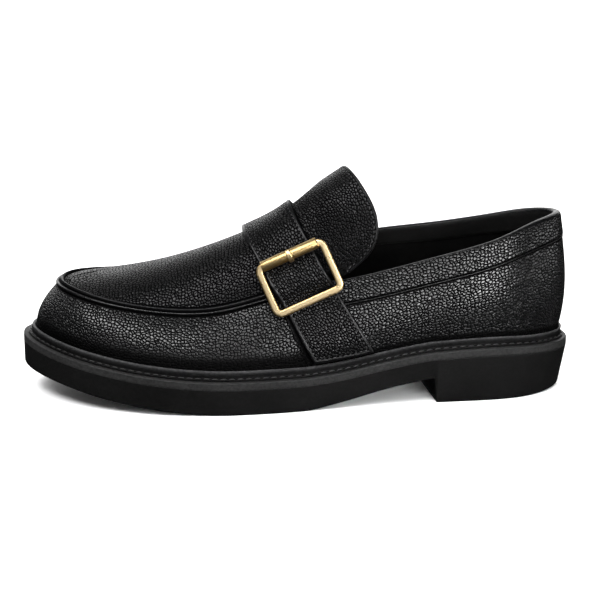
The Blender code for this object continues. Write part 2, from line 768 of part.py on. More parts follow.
def tube(start, axis, side, length, outer, bore):
    """Hollow cylinder."""
    count = 20
    lift = np.cross(axis, side)
    points = []
    for along in (0.0, length):
        for radius in (outer, bore):
            for k in range(count):
                phi = 2.0 * math.pi * k / count
                ray = math.cos(phi) * side + math.sin(phi) * lift
                points.append(start + along * axis + radius * ray)
    faces = []
    for k in range(count):
        m = (k + 1) % count
        a, b, c, d = k, count + k, 2 * count + k, 3 * count + k
        e, f, g, h = m, count + m, 2 * count + m, 3 * count + m
        faces += [(a, e, g, c), (b, d, h, f), (a, b, f, e), (c, g, h, d)]
    return np.array(points), faces


def buckle_place(path):
    """Axle centre, width, downward and outward directions, and length of the buckle."""
    top_angle = math.radians(ROLLER_ANGLE)
    skin = STRAP_THICK + STRAP_LIFT
    head = path.point(BUCKLE_SHIFT, top_angle, skin)
    angle = top_angle
    while np.linalg.norm(path.point(BUCKLE_SHIFT, angle, skin) - head) < BUCKLE_DROP:
        angle += 0.005
    facing = path.direction(0.5 * (top_angle + angle))
    down = path.point(BUCKLE_SHIFT, angle, skin) - head
    down /= np.linalg.norm(down)
    turn = math.radians(BUCKLE_TURN)
    wide = math.cos(turn) * path.wide + math.sin(turn) * down
    down = math.cos(turn) * down - math.sin(turn) * path.wide
    out = np.cross(wide, down)
    out *= math.copysign(1.0, out @ facing)

    # Roller and bottom bar each rest just clear of the leather below them
    leather = np.array([path.point(lane, at, skin)
                        for lane in np.linspace(-STRAP_WAIST_HALF, STRAP_WAIST_HALF, 15)
                        for at in np.linspace(top_angle - 0.15, angle + 0.15, 60)]) - head
    rest = []
    for place in (0.0, BUCKLE_DROP):
        near = np.abs(leather @ down - place) < 0.5 * FRAME_BAR + 0.8
        rest.append(float(np.max((leather @ out)[near])))
    axle = head + out * (rest[0] + ROLLER_RADIUS + GAP)
    bar = head + down * BUCKLE_DROP + out * (rest[1] + 0.5 * FRAME_THICK + GAP)
    length = np.linalg.norm(bar - axle)
    down = (bar - axle) / length
    out = np.cross(wide, down)
    out *= math.copysign(1.0, out @ facing)
    return axle, wide, down, out, length


def make_buckle(path):
    axle, wide, down, out, length = buckle_place(path)
    half = 0.5 * (FRAME_WIDTH - FRAME_BAR)
    flat = (0.5 * FRAME_BAR, 0.5 * FRAME_THICK, 4.0)
    centres = []
    sides = []
    sizes = []
    # Corners in turn, each a quarter circle of the bar's centre line
    for side, place, start in ((-1.0, 0.0, 270.0), (-1.0, length, 180.0),
                               (1.0, length, 90.0), (1.0, 0.0, 0.0)):
        corner_across = side * (half - FRAME_CORNER)
        corner_down = place + (FRAME_CORNER if place == 0.0 else -FRAME_CORNER)
        for step in range(5):
            phi = math.radians(start - 22.5 * step)
            ray = wide * math.cos(phi) + down * math.sin(phi)
            centres.append(axle + wide * corner_across + down * corner_down
                           + ray * FRAME_CORNER)
            sides.append(ray)
            sizes.append(flat)
    # The top side is the round axle inside the roller
    for side in (1.0, -1.0):
        centres.append(axle + wide * side * (half - FRAME_CORNER - 0.3))
        sides.append(-down)
        sizes.append((AXLE_RADIUS, AXLE_RADIUS, 2.0))
    points, faces = sweep(centres, sides, [out] * len(centres), sizes, True)
    add_part("buckle_frame", points, faces, GOLD, 0.3, 1.0)

    start = axle - wide * 0.5 * ROLLER_LENGTH
    points, faces = tube(start, wide, out, ROLLER_LENGTH, ROLLER_RADIUS, ROLLER_BORE)
    add_part("buckle_roller", points, faces, GOLD, 0.3, 1.0)

    ring = ROLLER_RADIUS + GAP + PRONG_THICK
    centres = []
    sides = []
    for degrees in np.linspace(-PRONG_WRAP, PRONG_WRAP, 11):
        phi = math.radians(degrees)
        ray = math.cos(phi) * out + math.sin(phi) * down
        centres.append(axle + ray * ring)
        sides.append(ray)
    sizes = [(PRONG_THICK, PRONG_HALF, 3.0)] * len(centres)
    points, faces = sweep(centres, sides, [wide] * len(centres), sizes, False)
    add_part("buckle_prong", points, faces, GOLD, 0.3, 1.0)


def make_leather():
    outer, inner, faces, throat = upper_skins()
    add_part("upper", *close_shell(outer, inner, faces), LEATHER, 0.45)
    tongue_outer, tongue_inner, tongue_faces, along = tongue_skins(throat)
    path = StrapPath([(outer, faces), (tongue_outer, tongue_faces)])
    shift = along * GAP
    add_part("tongue", *close_shell(tongue_outer + shift, tongue_inner + shift, tongue_faces),
             LEATHER, 0.45)
    lanes = np.linspace(-1.0, 1.0, STRAP_LANES + 1)
    split = math.radians(ROLLER_ANGLE)
    half_gap = math.radians(0.3)
    ends = {sign: np.array([strap_end_angle(path, lane * STRAP_HALF, sign) for lane in lanes])
            for sign in (1.0, -1.0)}
    f = np.linspace(0.0, 1.0, STRAP_STEPS)[:, None]
    strap_angles = ends[-1.0] + (split - half_gap - ends[-1.0]) * f
    near = ease((np.degrees(strap_angles[:, STRAP_LANES // 2]) - ROLLER_ANGLE + 22.0) / 14.0)
    half = STRAP_HALF + (STRAP_WAIST_HALF - STRAP_HALF) * near
    add_part("strap", *strap_body(path, strap_angles, half), LEATHER, 0.45)
    f = np.linspace(0.0, 1.0, STRAP_STEPS * 3 // 4)[:, None]
    tab_angles = split + half_gap + (ends[1.0] - split - half_gap) * f
    far = ease((np.degrees(tab_angles[:, STRAP_LANES // 2]) - ROLLER_ANGLE - 32.0) / 40.0)
    half = STRAP_WAIST_HALF + (STRAP_HALF - STRAP_WAIST_HALF) * far
    add_part("strap_tab", *strap_body(path, tab_angles, half), LEATHER, 0.45)
    make_buckle(path)


def main():
    for node in list(bpy.data.objects):
        bpy.data.objects.remove(node, do_unlink=True)
    make_outsole()
    make_welt()
    make_bead()
    make_insole()
    make_leather()


main()
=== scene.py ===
"""Looks of the buckle loafer: leather, rubber, brass, thread, studio and camera.

The forms follow the same few tables as the solids, at a finer step, and add what a solid
leaves out: the rolled apron seam, the padded cuff, stitches, grain and brushed metal.
Sizes are in millimetres until a mesh is made. The toe points to -X, the outer side with
the buckle to -Y.
"""

import math
from collections import namedtuple

import bpy
import numpy as np
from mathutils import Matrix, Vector
from mathutils.bvhtree import BVHTree


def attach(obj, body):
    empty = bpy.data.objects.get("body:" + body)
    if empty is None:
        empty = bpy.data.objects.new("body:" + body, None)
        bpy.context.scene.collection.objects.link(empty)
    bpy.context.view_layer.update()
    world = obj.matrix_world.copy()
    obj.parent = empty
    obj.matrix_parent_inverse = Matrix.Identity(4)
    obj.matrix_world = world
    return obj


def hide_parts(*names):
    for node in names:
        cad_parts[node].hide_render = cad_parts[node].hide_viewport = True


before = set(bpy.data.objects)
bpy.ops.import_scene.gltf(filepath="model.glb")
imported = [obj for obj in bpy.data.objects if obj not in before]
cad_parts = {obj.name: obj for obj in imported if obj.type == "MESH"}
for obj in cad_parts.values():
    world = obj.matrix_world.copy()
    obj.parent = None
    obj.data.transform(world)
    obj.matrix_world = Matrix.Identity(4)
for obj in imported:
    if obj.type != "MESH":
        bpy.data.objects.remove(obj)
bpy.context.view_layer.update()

MM = 0.001
TINY = 1e-9


def table(fields, *rows):
    """Rows under named columns."""
    Row = namedtuple("Row", fields)
    return [Row(*row) for row in rows]


# Sizes that the solids have too
GAP = 0.3
WALL = 2.0
WELT_THICK = 4.0
WELT_UNDERLAP = 2.6
BEAD_SHARE = 0.6
BEAD_HEIGHT = 5.2
INSOLE_INSET = 3.0
INSOLE_RISE = 1.6
HEEL_BREAST_X = 73.4
HEEL_BREAST_RUN = 1.5
HEEL_BREAST_Y = -35.0
HEEL_BREAST_SLANT = 0.125
HEEL_BREAST_REACH = 45.0
HEEL_BREAST_EASE = 1.1
HEEL_END_X = 150.0
HEEL_BEVEL = 2.2
HEEL_BEVEL_START = 122.0
TAPER_TOE = 0.2
TAPER_FORE = 1.2
TAPER_HEEL = 4.0
TAPER_FORE_START = -140.0
TAPER_HEEL_START = 40.0
TAPER_RUN = 60.0
WALL_FOOT_RISE = 0.36
SEAM_FADE_START = -16.0
SEAM_FADE_END = -4.0
CUFF_DEPTH = 14.0
THROAT_X = 16.0
SPINE_FRONT_X = -106.0
SPINE_POWER = 1.35
SPINE_SIDE = 2.0
APRON_RUN = 0.33
APRON_START_LESS = 0.21
APRON_END_MORE = 0.20
APRON_FULL = 0.6
TONGUE_TILT = 33.5
TONGUE_TOP = (26.4, 1.0, 123.4)
TONGUE_HALF_OUTER = 28.5
TONGUE_HALF_INNER = 24.5
TONGUE_EDGE_IN = 0.965
TONGUE_DEPTH_OUTER = 44.0
TONGUE_DEPTH_INNER = 33.0
TONGUE_THICK = 2.4
STRAP_TILT = 30.0
STRAP_CENTRE = 34.2
STRAP_HALF = 15.2
STRAP_WAIST_HALF = 14.6
STRAP_THICK = 2.6
STRAP_LIFT = 0.3
STRAP_AXIS_LIFT = 25.0
STRAP_AXIS_Y = -1.0
STRAP_END_LIFT = 6.8
ROLLER_ANGLE = 27.5
BUCKLE_DROP = 27.0
FRAME_BAR = 3.8
FRAME_THICK = 2.4
AXLE_RADIUS = 1.6
ROLLER_RADIUS = 3.0
ROLLER_BORE = 2.0
PRONG_WRAP = 78.0

# Finer forms of the buckle, which differ a little from its solids
FRAME_CORNER = 3.4
FRAME_SQUARE = 4.0
# How far round to the front a bar's section must face to keep the pale gold; the rest is painted
# shade
FRAME_RIM = 0.8
CORNER_STEPS = 13
AXLE_SHORT = 0.3
SECTION_SIDES = 28
ROUND_SECTION = 2.0
ROLLER_PAST = 0.9
ROLLER_SIDES = 40
PRONG_HALF = 1.3
PRONG_THICK = 0.45
PRONG_SQUARE = 4.0
PRONG_START = -50.0
PRONG_STEPS = 29
PRONG_OFF = 0.1
PRONG_PAST = 0.9
PRONG_PAST_START = 0.2
PRONG_PAST_STEPS = 5
PRONG_TIP = (0.55, 0.85, 0.97, 1.0)

# Height of the welt's upper face and of the tread along the shoe
SOLE = table(
    "x top tread",
    (-150.0, 32.2, 15.2),
    (-130.0, 28.6, 12.0),
    (-105.0, 24.6, 7.2),
    (-80.0, 21.2, 3.2),
    (-55.0, 19.2, 0.8),
    (-35.0, 18.5, 0.0),
    (0.0, 18.6, 0.0),
    (22.0, 20.4, 3.4),
    (45.0, 24.5, 8.8),
    (75.0, 29.2, 13.6),
    (105.0, 30.6, 14.5),
    (130.0, 29.2, 14.5),
    (150.0, 27.2, 14.5),
)

# Feather line round the last, the welt's width and the wall above it
LAST = table(
    "x y welt flare top_in top_z lean drop",
    (142.5, 0.0, 6.0, 8.0, -0.5, 97.0, 3.0, 22.0),
    (130.5, -20.0, 6.0, 6.5, 2.5, 95.4, 3.5, 22.0),
    (108.0, -29.7, 6.0, 5.0, 5.0, 88.4, 4.5, 20.0),
    (75.0, -32.0, 6.1, 4.0, 7.0, 79.2, 5.5, 17.0),
    (38.0, -35.0, 6.3, 4.0, 9.0, 69.8, 5.5, 14.0),
    (-5.0, -42.5, 6.8, 3.5, 13.0, 61.5, 4.0, 12.0),
    (-42.0, -46.5, 7.0, 3.0, 15.0, 52.5, 8.0, 9.0),
    (-80.0, -42.5, 7.3, 2.8, 15.0, 51.5, 8.0, 7.0),
    (-110.0, -31.5, 7.8, 3.0, 13.5, 54.5, 8.5, 7.0),
    (-131.0, -14.0, 8.0, 3.2, 12.5, 57.5, 8.5, 7.5),
    (-140.5, 6.5, 8.0, 3.4, 12.5, 59.5, 8.5, 8.0),
    (-132.5, 25.5, 8.0, 3.2, 12.5, 60.5, 8.5, 8.0),
    (-111.0, 37.5, 7.6, 3.0, 13.5, 60.2, 8.5, 7.5),
    (-84.0, 42.5, 7.2, 2.8, 14.0, 59.2, 8.0, 7.5),
    (-55.0, 43.5, 6.8, 3.0, 14.0, 59.5, 7.5, 9.0),
    (-12.0, 37.5, 6.5, 3.5, 12.0, 68.5, 4.0, 13.0),
    (35.0, 28.0, 6.3, 4.0, 7.0, 81.8, 5.5, 15.0),
    (75.0, 28.0, 6.1, 4.0, 6.0, 86.4, 5.5, 18.0),
    (108.0, 28.2, 6.0, 5.0, 4.5, 90.2, 4.5, 20.0),
    (130.5, 19.5, 6.0, 6.5, 2.5, 94.4, 3.5, 22.0),
)

# Free edge of the tongue: how far it reaches past its top at angles from the crown
TONGUE_EDGE = table(
    "angle outer inner",
    (0.0, 0.0, 0.0),
    (11.0, 1.0, -1.8),
    (22.0, 1.9, -3.3),
    (33.0, 2.5, -4.7),
    (44.0, 2.6, -5.9),
    (55.0, 2.2, -7.0),
    (65.0, 0.8, -8.6),
    (73.0, -1.8, -10.6),
    (79.0, -5.0, -13.0),
    (84.5, -10.0, -16.5),
    (88.0, -16.5, -21.0),
    (90.0, -27.0, -27.0),
)

# Crown of the apron along its spine, from the toe to the throat
CROWN = table(
    "x z",
    (-106.0, 64.5),
    (-89.0, 67.5),
    (-72.0, 71.5),
    (-54.0, 77.2),
    (-36.5, 83.8),
    (-20.0, 91.2),
    (-12.0, 95.6),
)
CROWN_SPAN = (-160.0, 40.0)
CROWN_STEPS = 401

# Apron seam: a raised band with two rolled ridges, the outer one over the wall
SEAM_HALF = 2.1
SEAM_EDGE = 0.35
SEAM_BASE = 1.0
SEAM_RIDGE_AT = 1.25
SEAM_RIDGE_HALF = 0.7
SEAM_RIDGE_RISE = 0.7
SEAM_CREASE = 0.45
SEAM_REACH = 2.6
# Half widths of the seam's painted dark lines and of the painted shadow under its overhang, and how
# strongly they darken
SEAM_LINE_HALF = 0.6
SEAM_SHADE_HALF = 0.9
SEAM_GRAIN_LESS = 0.8
RIDGE_POWER = 0.6
CREASE_HALF = 0.5
CREASE_POWER = 1.5
PAINTED_SHADE_GAIN = 1.5

# Collar cuff, its piped lower seam and the facing inside
CUFF_RUN_IN = 8.0
CUFF_SWELL = 0.6
CUFF_SWELL_ABOVE = 1.5
CUFF_SWELL_RUN = 4.0
CUFF_SWELL_END = 1.3
CUFF_SWELL_FALL = 0.8
CUFF_PIPE_HALF = 0.6
CUFF_PIPE_RISE = 0.45
CUFF_PIPE_PLAIN = 0.3
CUFF_CREASE = 0.6
# Where the painted dark lines beside the pipe lie, and their half width
CUFF_LINE_OUT = 0.2
CUFF_LINE_HALF = 0.7
ROLL_DEGREES = (30.0, 60.0, 90.0, 120.0, 150.0, 180.0)
ROLL_HEIGHT = 0.8
ROLL_GRAIN = 0.35
FACING_START = 1.0
FACING_DEPTH = 11.5
FACING_PROUD = 0.5
FACING_SINK = 0.2
RIM_RISE = 1.0
RIM_PAD = 2.2
RIM_PAD_START = 100.0
RIM_PAD_RUN = 30.0

# How the upper's columns crowd towards the toe, and a depth below every line drawn on it
COLUMN_POWER = 1.1
DEEP = 99.0

# Painted shade on the foot of the wall behind the bead, fading out more slowly along the vamp
FOOT_DARK = 5.4
FOOT_FADE = 4.5
VAMP_FADE = 9.0
VAMP_END = 0.0
VAMP_RUN = 40.0

# Edges, grooves and stitches of tongue and straps
EDGE_ROUND = 0.9
# Half width of a painted contact shadow along the cut edges
EDGE_SHADOW = 0.3
STITCH_IN = 2.2
GROOVE_HALF = 0.55
GROOVE_DEPTH = 0.5
# How dark the painted shade in the stitch groove is
GROOVE_SHADE = 0.8
RIM_PLAIN = 1.9
RIM_GRAIN = 0.2
TONGUE_RIM_PLAIN = 1.2
TONGUE_RIM_GRAIN = 0.3
TONGUE_COLUMNS = 161
TONGUE_FINE_FROM = 0.86
TONGUE_FIT_SHARE = 0.7

# Strap and tab: their parting under the roller, their waist there and the tab's hump
STRAP_PARTING = 0.3
STRAP_UNDER = 0.1
STRAP_COLUMNS = 190
WAIST_BEFORE = 22.0
WAIST_BEFORE_RUN = 14.0
WAIST_AFTER = 32.0
WAIST_AFTER_RUN = 40.0
TAB_FINE_FROM = 0.93
TAB_STITCH_START = 4
TAB_HUMP = 2.8
HUMP_START = 3.5
HUMP_RISE_RUN = 11.0
HUMP_FALL_RUN = 10.5

# Rays that find the skin under the strap, and how the strap is draped over it
PATH_DEGREES = 130.0
PATH_STEPS = 521
PATH_LANES = 43
PATH_MARGIN = 6.0
PATH_FAR = 200.0
PATH_LEAST = 12.0
DRAPE_REACH = (2, 5)
DRAPE_WINDOW = (9, 27)
END_FROM = 60.0
END_TO = 129.0
END_STEP = 0.25

# Backing in front of the tab: where it starts below the buckle and how far it stands out
BACKING_START = 4.0
BACKING_OUT_TOP = 1.2
BACKING_OUT_END = 3.0
BACKING_THICK = 1.0
BACKING_GRAIN = 0.5

# The same backing across its width: in from its edge, share of its thickness, and how dark its
# painted shade is
BACKING = table(
    "inset rise dark",
    (0.0, 0.55, 0.2), (0.15, 0.85, 0.2), (0.5, 1.0, 0.5),
    (2.0, 1.0, 0.95), (5.0, 1.0, 1.0), (8.0, 1.0, 1.0),
)

# Rounded edges of the outsole, and how far the welt reaches down to close its joint
WELT_REACH = 0.27
SOLE_LIP = 0.12
SOLE_ROUND = 1.0
SOLE_ROUND_DEGREES = (30.0, 60.0, 90.0)
SOLE_SHARES = (0.0, 0.03, 0.15, 0.3, 0.45, 0.6, 0.75, 0.9, 1.0)
SOLE_STATIONS = 241
BREAST_SPREAD = 0.004
BREAST_STATIONS = 7
TREAD_LEVEL = 0.7
INSOLE_STATIONS = 121

# Steps round the last and up its wall
ROUND_STEPS = 2000
TOE_STEPS = 4000
SIDE_STEPS = 3000
LOOP_STEPS = 520
STITCH_STEPS = 1200
WALL_STEPS = 25
WALL_LOW_STEPS = 41
WALL_LOW_SHARE = 0.4

# Rounded edges of insole and welt: in from the outline, and down from the top
INSOLE_EDGE = table(
    "inset drop", (4.0, 0.0), (3.3, 0.15), (INSOLE_INSET, 0.6), (INSOLE_INSET, 5.4),
)
WELT_SIDE = table(
    "inset drop", (0.0, 0.7), (0.0, 2.0), (0.0, 3.6), (0.05, WELT_THICK + WELT_REACH),
)
WELT_SHOULDER = table("inset drop", (1.0, 0.0), (0.5, 0.08), (0.15, 0.3))

# Camera that shows the shoe as the photograph does, in a frame of 600 by 600
IMAGE = 600.0
VIEW_AZIMUTH = -3.0
VIEW_ELEVATION = 16.0
VIEW_DISTANCE = 1420.0
VIEW_SCALE = 1.8363
VIEW_HEIGHT = 50.0
TARGET_PIXEL = (296.0, 297.5)
SENSOR = 36.0


def column(rows, name):
    return np.array([getattr(row, name) for row in rows])


def ease(x):
    x = np.clip(x, 0.0, 1.0)
    return x * x * (3.0 - 2.0 * x)


def smooth_line(xs, ys, x):
    """Cubic through the points that never overshoots, so flat stretches stay flat."""
    h = np.diff(xs)
    d = np.diff(ys) / h
    m = np.concatenate([d[:1], np.zeros(len(d) - 1), d[-1:]])
    same = d[:-1] * d[1:] > 0.0
    w1 = 2.0 * h[1:] + h[:-1]
    w2 = h[1:] + 2.0 * h[:-1]
    a = np.where(same, d[:-1], 1.0)
    b = np.where(same, d[1:], 1.0)
    m[1:-1] = np.where(same, (w1 + w2) / (w1 / a + w2 / b), 0.0)
    x = np.clip(x, xs[0], xs[-1])
    i = np.clip(np.searchsorted(xs, x) - 1, 0, len(h) - 1)
    t = (x - xs[i]) / h[i]
    low = ys[i] * (1.0 + 2.0 * t) * (1.0 - t) ** 2 + m[i] * h[i] * t * (1.0 - t) ** 2
    high = ys[i + 1] * t * t * (3.0 - 2.0 * t) + m[i + 1] * h[i] * t * t * (t - 1.0)
    return low + high


def follow(rows, name, at):
    """Smooth value of one column of a table, against the table's first column."""
    return smooth_line(column(rows, rows[0]._fields[0]), column(rows, name), at)


def welt_top(x):
    return follow(SOLE, "top", x)


def tread(x, y):
    """Underside of the sole: rocker, flat forefoot, arch, heel block with a bevelled back.

    The heel's front reaches further forward on the inner side.
    """
    fore = follow(SOLE, "tread", x)
    back = (np.maximum(x, HEEL_BEVEL_START) - HEEL_BEVEL_START) / (HEEL_END_X - HEEL_BEVEL_START)
    breast = HEEL_BREAST_X - HEEL_BREAST_SLANT * (y - HEEL_BREAST_Y)
    step = ease((x - breast) / HEEL_BREAST_RUN + 0.5)
    return fore * (1.0 - step) + HEEL_BEVEL * back ** 2 * step


def crown(x):
    return follow(CROWN, "z", x)


def tilted(degrees):
    """Directions along and square to a plane that rises towards the heel."""
    tilt = math.radians(degrees)
    return (np.array([math.cos(tilt), 0.0, math.sin(tilt)]),
            np.array([-math.sin(tilt), 0.0, math.cos(tilt)]))


def run_along(line):
    """Distance of each point of a line from its start."""
    return np.concatenate([[0.0], np.cumsum(np.linalg.norm(np.diff(line, axis=0), axis=1))])


def steps_to_edge(change, coarse, fine):
    """Steps from 0 to 1 that are closer together after the change."""
    return np.concatenate([np.linspace(0.0, change, coarse, endpoint=False),
                           np.linspace(change, 1.0, fine)])


def curve_weights(t):
    """Weights of the four points of a cubic curve."""
    return (1.0 - t) ** 3, 3.0 * t * (1.0 - t) ** 2, 3.0 * t * t * (1.0 - t), t ** 3


class Last:
    """Closed smooth curves through the rows of LAST, by distance round the feather line."""

    def __init__(self):
        self.rows = np.array(LAST)
        ring = np.vstack([self.rows, self.rows[:1]])
        self.h = np.linalg.norm(np.diff(ring[:, :2], axis=0), axis=1)
        self.knots = np.concatenate([[0.0], np.cumsum(self.h)])
        self.length = self.knots[-1]
        n = len(self.rows)
        matrix = np.zeros((n, n))
        right = np.zeros_like(self.rows)
        for i in range(n):
            before, after = self.h[i - 1], self.h[i]
            matrix[i, i - 1] += before
            matrix[i, i] += 2.0 * (before + after)
            matrix[i, (i + 1) % n] += after
            step = (ring[i + 1] - ring[i]) / after - (ring[i] - self.rows[i - 1]) / before
            right[i] = 6.0 * step
        self.bend = np.linalg.solve(matrix, right)

    def at(self, u):
        """Values of every column, and the inward normal, at distances u."""
        u = np.mod(u, self.length)
        n = len(self.rows)
        i = np.clip(np.searchsorted(self.knots, u, side="right") - 1, 0, n - 1)
        j = (i + 1) % n
        h = self.h[i][:, None]
        b = (u - self.knots[i])[:, None] / h
        a = 1.0 - b
        value = a * self.rows[i] + b * self.rows[j]
        value += ((a ** 3 - a) * self.bend[i] + (b ** 3 - b) * self.bend[j]) * h * h / 6.0
        slope = (self.rows[j] - self.rows[i]) / h
        slope += ((3 * b * b - 1) * self.bend[j] - (3 * a * a - 1) * self.bend[i]) * h / 6.0
        along = slope[:, :2] / np.linalg.norm(slope[:, :2], axis=1, keepdims=True)
        inward = np.stack([along[:, 1], -along[:, 0]], axis=1)
        return LAST[0]._make(value.T), inward

    def where_x(self, x, outer):
        """Distance u at which the outer or inner side passes x."""
        u = np.linspace(0.0, self.length, ROUND_STEPS)
        row, _ = self.at(u)
        toe = np.argmin(row.x)
        side = slice(0, toe + 1) if outer else slice(toe, None)
        order = np.argsort(row.x[side])
        return float(np.interp(x, row.x[side][order], u[side][order]))

    def toe(self):
        u = np.linspace(0.0, self.length, TOE_STEPS)
        row, _ = self.at(u)
        return float(u[np.argmin(row.x)])

    def outline(self, offset, u):
        """Plan points of the feather line moved outward."""
        row, inward = self.at(u)
        return np.stack([row.x, row.y], axis=1) - inward * np.asarray(offset)[..., None]


last = Last()
ROUND = np.linspace(0.0, last.length, ROUND_STEPS)
welt_edge = last.outline(last.at(ROUND)[0].welt, ROUND)
TO_CENTRE = np.array([*(-0.5 * (welt_edge.min(axis=0) + welt_edge.max(axis=0))), 0.0])


def wall_points(u, t):
    """Outer face of the side wall at distances u and rises t (0 feather line, 1 top)."""
    row, inward = last.at(u)
    foot = welt_top(row.x) + GAP
    rise = row.top_z - foot
    b0, b1, b2, b3 = curve_weights(t)
    inset = -row.flare * b1 + (row.top_in - row.lean) * b2 + row.top_in * b3
    z = (foot * b0 + (foot + WALL_FOOT_RISE * rise) * b1 + (row.top_z - row.drop) * b2
         + row.top_z * b3)
    plan = np.stack([row.x, row.y], axis=1) + inward * inset[:, None]
    return np.column_stack([plan, z])


def wall_length(u):
    t = np.linspace(0.0, 1.0, WALL_STEPS)
    rows = [wall_points(u, np.full(len(u), k)) for k in t]
    return sum(np.linalg.norm(b - a, axis=1) for a, b in zip(rows[:-1], rows[1:]))


def spine_point(a, seam_outer, seam_inner):
    """Crown point that an apron row (0 toe, 1 throat) passes through."""
    x = SPINE_FRONT_X + (CROWN[-1].x - SPINE_FRONT_X) * a ** SPINE_POWER
    y = 0.5 * (seam_outer[:, 1] + seam_inner[:, 1]) + SPINE_SIDE
    return np.column_stack([x, y, crown(x)])


def apron_points(seam, spine, a, v):
    """Apron from the seam (v 0) to the spine (v 1), rounder towards the instep."""
    run = spine[:, :2] - seam[:, :2]
    rise = spine[:, 2] - seam[:, 2]
    slope = (crown(spine[:, 0] + 0.5) - crown(spine[:, 0] - 0.5)) * run[:, 0]
    start_run = APRON_RUN - APRON_START_LESS * a
    end_run = APRON_RUN + APRON_END_MORE * a
    _, b1, b2, b3 = curve_weights(v)
    along = start_run * b1 + (1.0 - end_run) * b2 + b3
    z = seam[:, 2] + rise * (APRON_FULL * b1 + b2 + b3) - slope * end_run * b2
    return np.column_stack([seam[:, :2] + run * along[:, None], z])


def grid_quads(columns, rows, closed=False, start=0):
    """Quads of a grid whose points are numbered row by row inside each column."""
    count = columns if closed else columns - 1
    i, j = np.meshgrid(np.arange(count), np.arange(rows - 1), indexing="ij")
    k = (i + 1) % columns
    quads = np.stack([i * rows + j, k * rows + j, k * rows + j + 1, i * rows + j + 1], axis=-1)
    return quads.reshape(-1, 4) + start


def tube_quads(rings, sides, closed=False):
    """Quads of a tube whose points are numbered ring by ring."""
    quads = grid_quads(rings, sides + 1, closed=closed)
    return quads // (sides + 1) * sides + quads % (sides + 1) % sides


def point_normals(points, quads):
    """Unit normals at the points of a mesh of quads."""
    a, b, c, d = (points[quads[:, k]] for k in range(4))
    face = np.cross(c - a, d - b)
    normal = np.zeros_like(points)
    for k in range(4):
        np.add.at(normal, quads[:, k], face)
    return normal / np.maximum(np.linalg.norm(normal, axis=1, keepdims=True), TINY)


def shell(outer, inner, columns, rows):
    """Two grids of the same shape, joined all round their edges."""
    quads = grid_quads(columns, rows)
    count = columns * rows
    back = quads[:, ::-1] + count
    edge = np.concatenate([
        np.arange(rows), np.arange(1, columns) * rows + rows - 1,
        (columns - 1) * rows + np.arange(rows - 2, -1, -1), np.arange(columns - 2, 0, -1) * rows,
    ])
    after = np.roll(edge, -1)
    rim = np.stack([edge, after, after + count, edge + count], axis=1)
    return np.vstack([outer, inner]), np.vstack([quads, back, rim])


def ridge(s, at, half, rise):
    """Rounded bead of that half width across a line."""
    inside = np.clip(1.0 - ((s - at) / half) ** 2, 0.0, 1.0)
    return rise * inside ** RIDGE_POWER


def nearness(s, at, half):
    """One on a line across the surface, falling to nought at that half width."""
    return np.clip(1.0 - np.abs(s - at) / half, 0.0, 1.0)


def crease(s, at, half, depth):
    return -depth * nearness(s, at, half) ** CREASE_POWER


def rounded_edge(e):
    """How far a sheet's face falls away at a distance from its cut edge."""
    inside = np.clip(EDGE_ROUND - e, 0.0, EDGE_ROUND)
    return -(EDGE_ROUND - np.sqrt(EDGE_ROUND ** 2 - inside ** 2))


def flattened(grid):
    """Distances along and across a sheet given as columns and rows, as if it lay flat."""
    down = np.linalg.norm(np.diff(grid, axis=1), axis=2)
    along = np.linalg.norm(np.diff(grid, axis=0), axis=2)
    rows = np.hstack([np.zeros((len(grid), 1)), np.cumsum(down, axis=1)])
    columns = np.vstack([np.zeros((1, grid.shape[1])), np.cumsum(along, axis=0)])
    columns -= columns[len(grid) // 2]
    rows -= rows[:, grid.shape[1] // 2, None]
    return np.stack([columns, rows], axis=-1).reshape(-1, 2)


def facing(points, quads, inside):
    """Quads turned so that they face out of the piece, or into it for a lining."""
    a, b, c, d = (points[quads[:, k]] for k in range(4))
    volume = np.sum(np.cross(c - a, d - b) * (a + b + c + d))
    return quads if (volume > 0.0) != inside else quads[:, ::-1]


# What leather knows at each point: how strongly its pebbles stand out, how much painted shade
# darkens it, and its place on the flattened hide
Hide = namedtuple("Hide", "grain fold flat")


def both_faces(grain, fold, grid):
    """What leather knows on the two faces of a shell that is made from one grid."""
    return Hide(np.tile(grain, 2), np.tile(fold, 2), np.tile(flattened(grid), (2, 1)))


def add_piece(name, points, quads, materials, slot, replaced=None, index=None, hide=None,
              inside=False):
    """Smooth mesh from millimetres, riding on the shoe."""
    mesh = bpy.data.meshes.new(name)
    placed = (points + TO_CENTRE) * MM
    faces = [tuple(dict.fromkeys(quad)) for quad in facing(points, quads, inside).tolist()]
    mesh.from_pydata(placed.tolist(), [], faces)
    for material in materials:
        mesh.materials.append(material)
    mesh.polygons.foreach_set("use_smooth", np.ones(len(mesh.polygons), bool))
    if index is not None:
        mesh.polygons.foreach_set("material_index", np.asarray(index, np.int32))
    if hide is not None:
        for key in ("grain", "fold"):
            layer = mesh.attributes.new(key, "FLOAT", "POINT")
            layer.data.foreach_set("value", getattr(hide, key).astype(np.float32))
        layer = mesh.attributes.new("flat", "FLOAT_VECTOR", "POINT")
        sheet = np.column_stack([hide.flat, np.zeros(len(hide.flat))]) * MM
        layer.data.foreach_set("vector", sheet.astype(np.float32).ravel())
    mesh.validate()
    piece = bpy.data.objects.new(name, mesh)
    bpy.context.scene.collection.objects.link(piece)
    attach(piece, "root")
    if replaced:
        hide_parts(replaced)
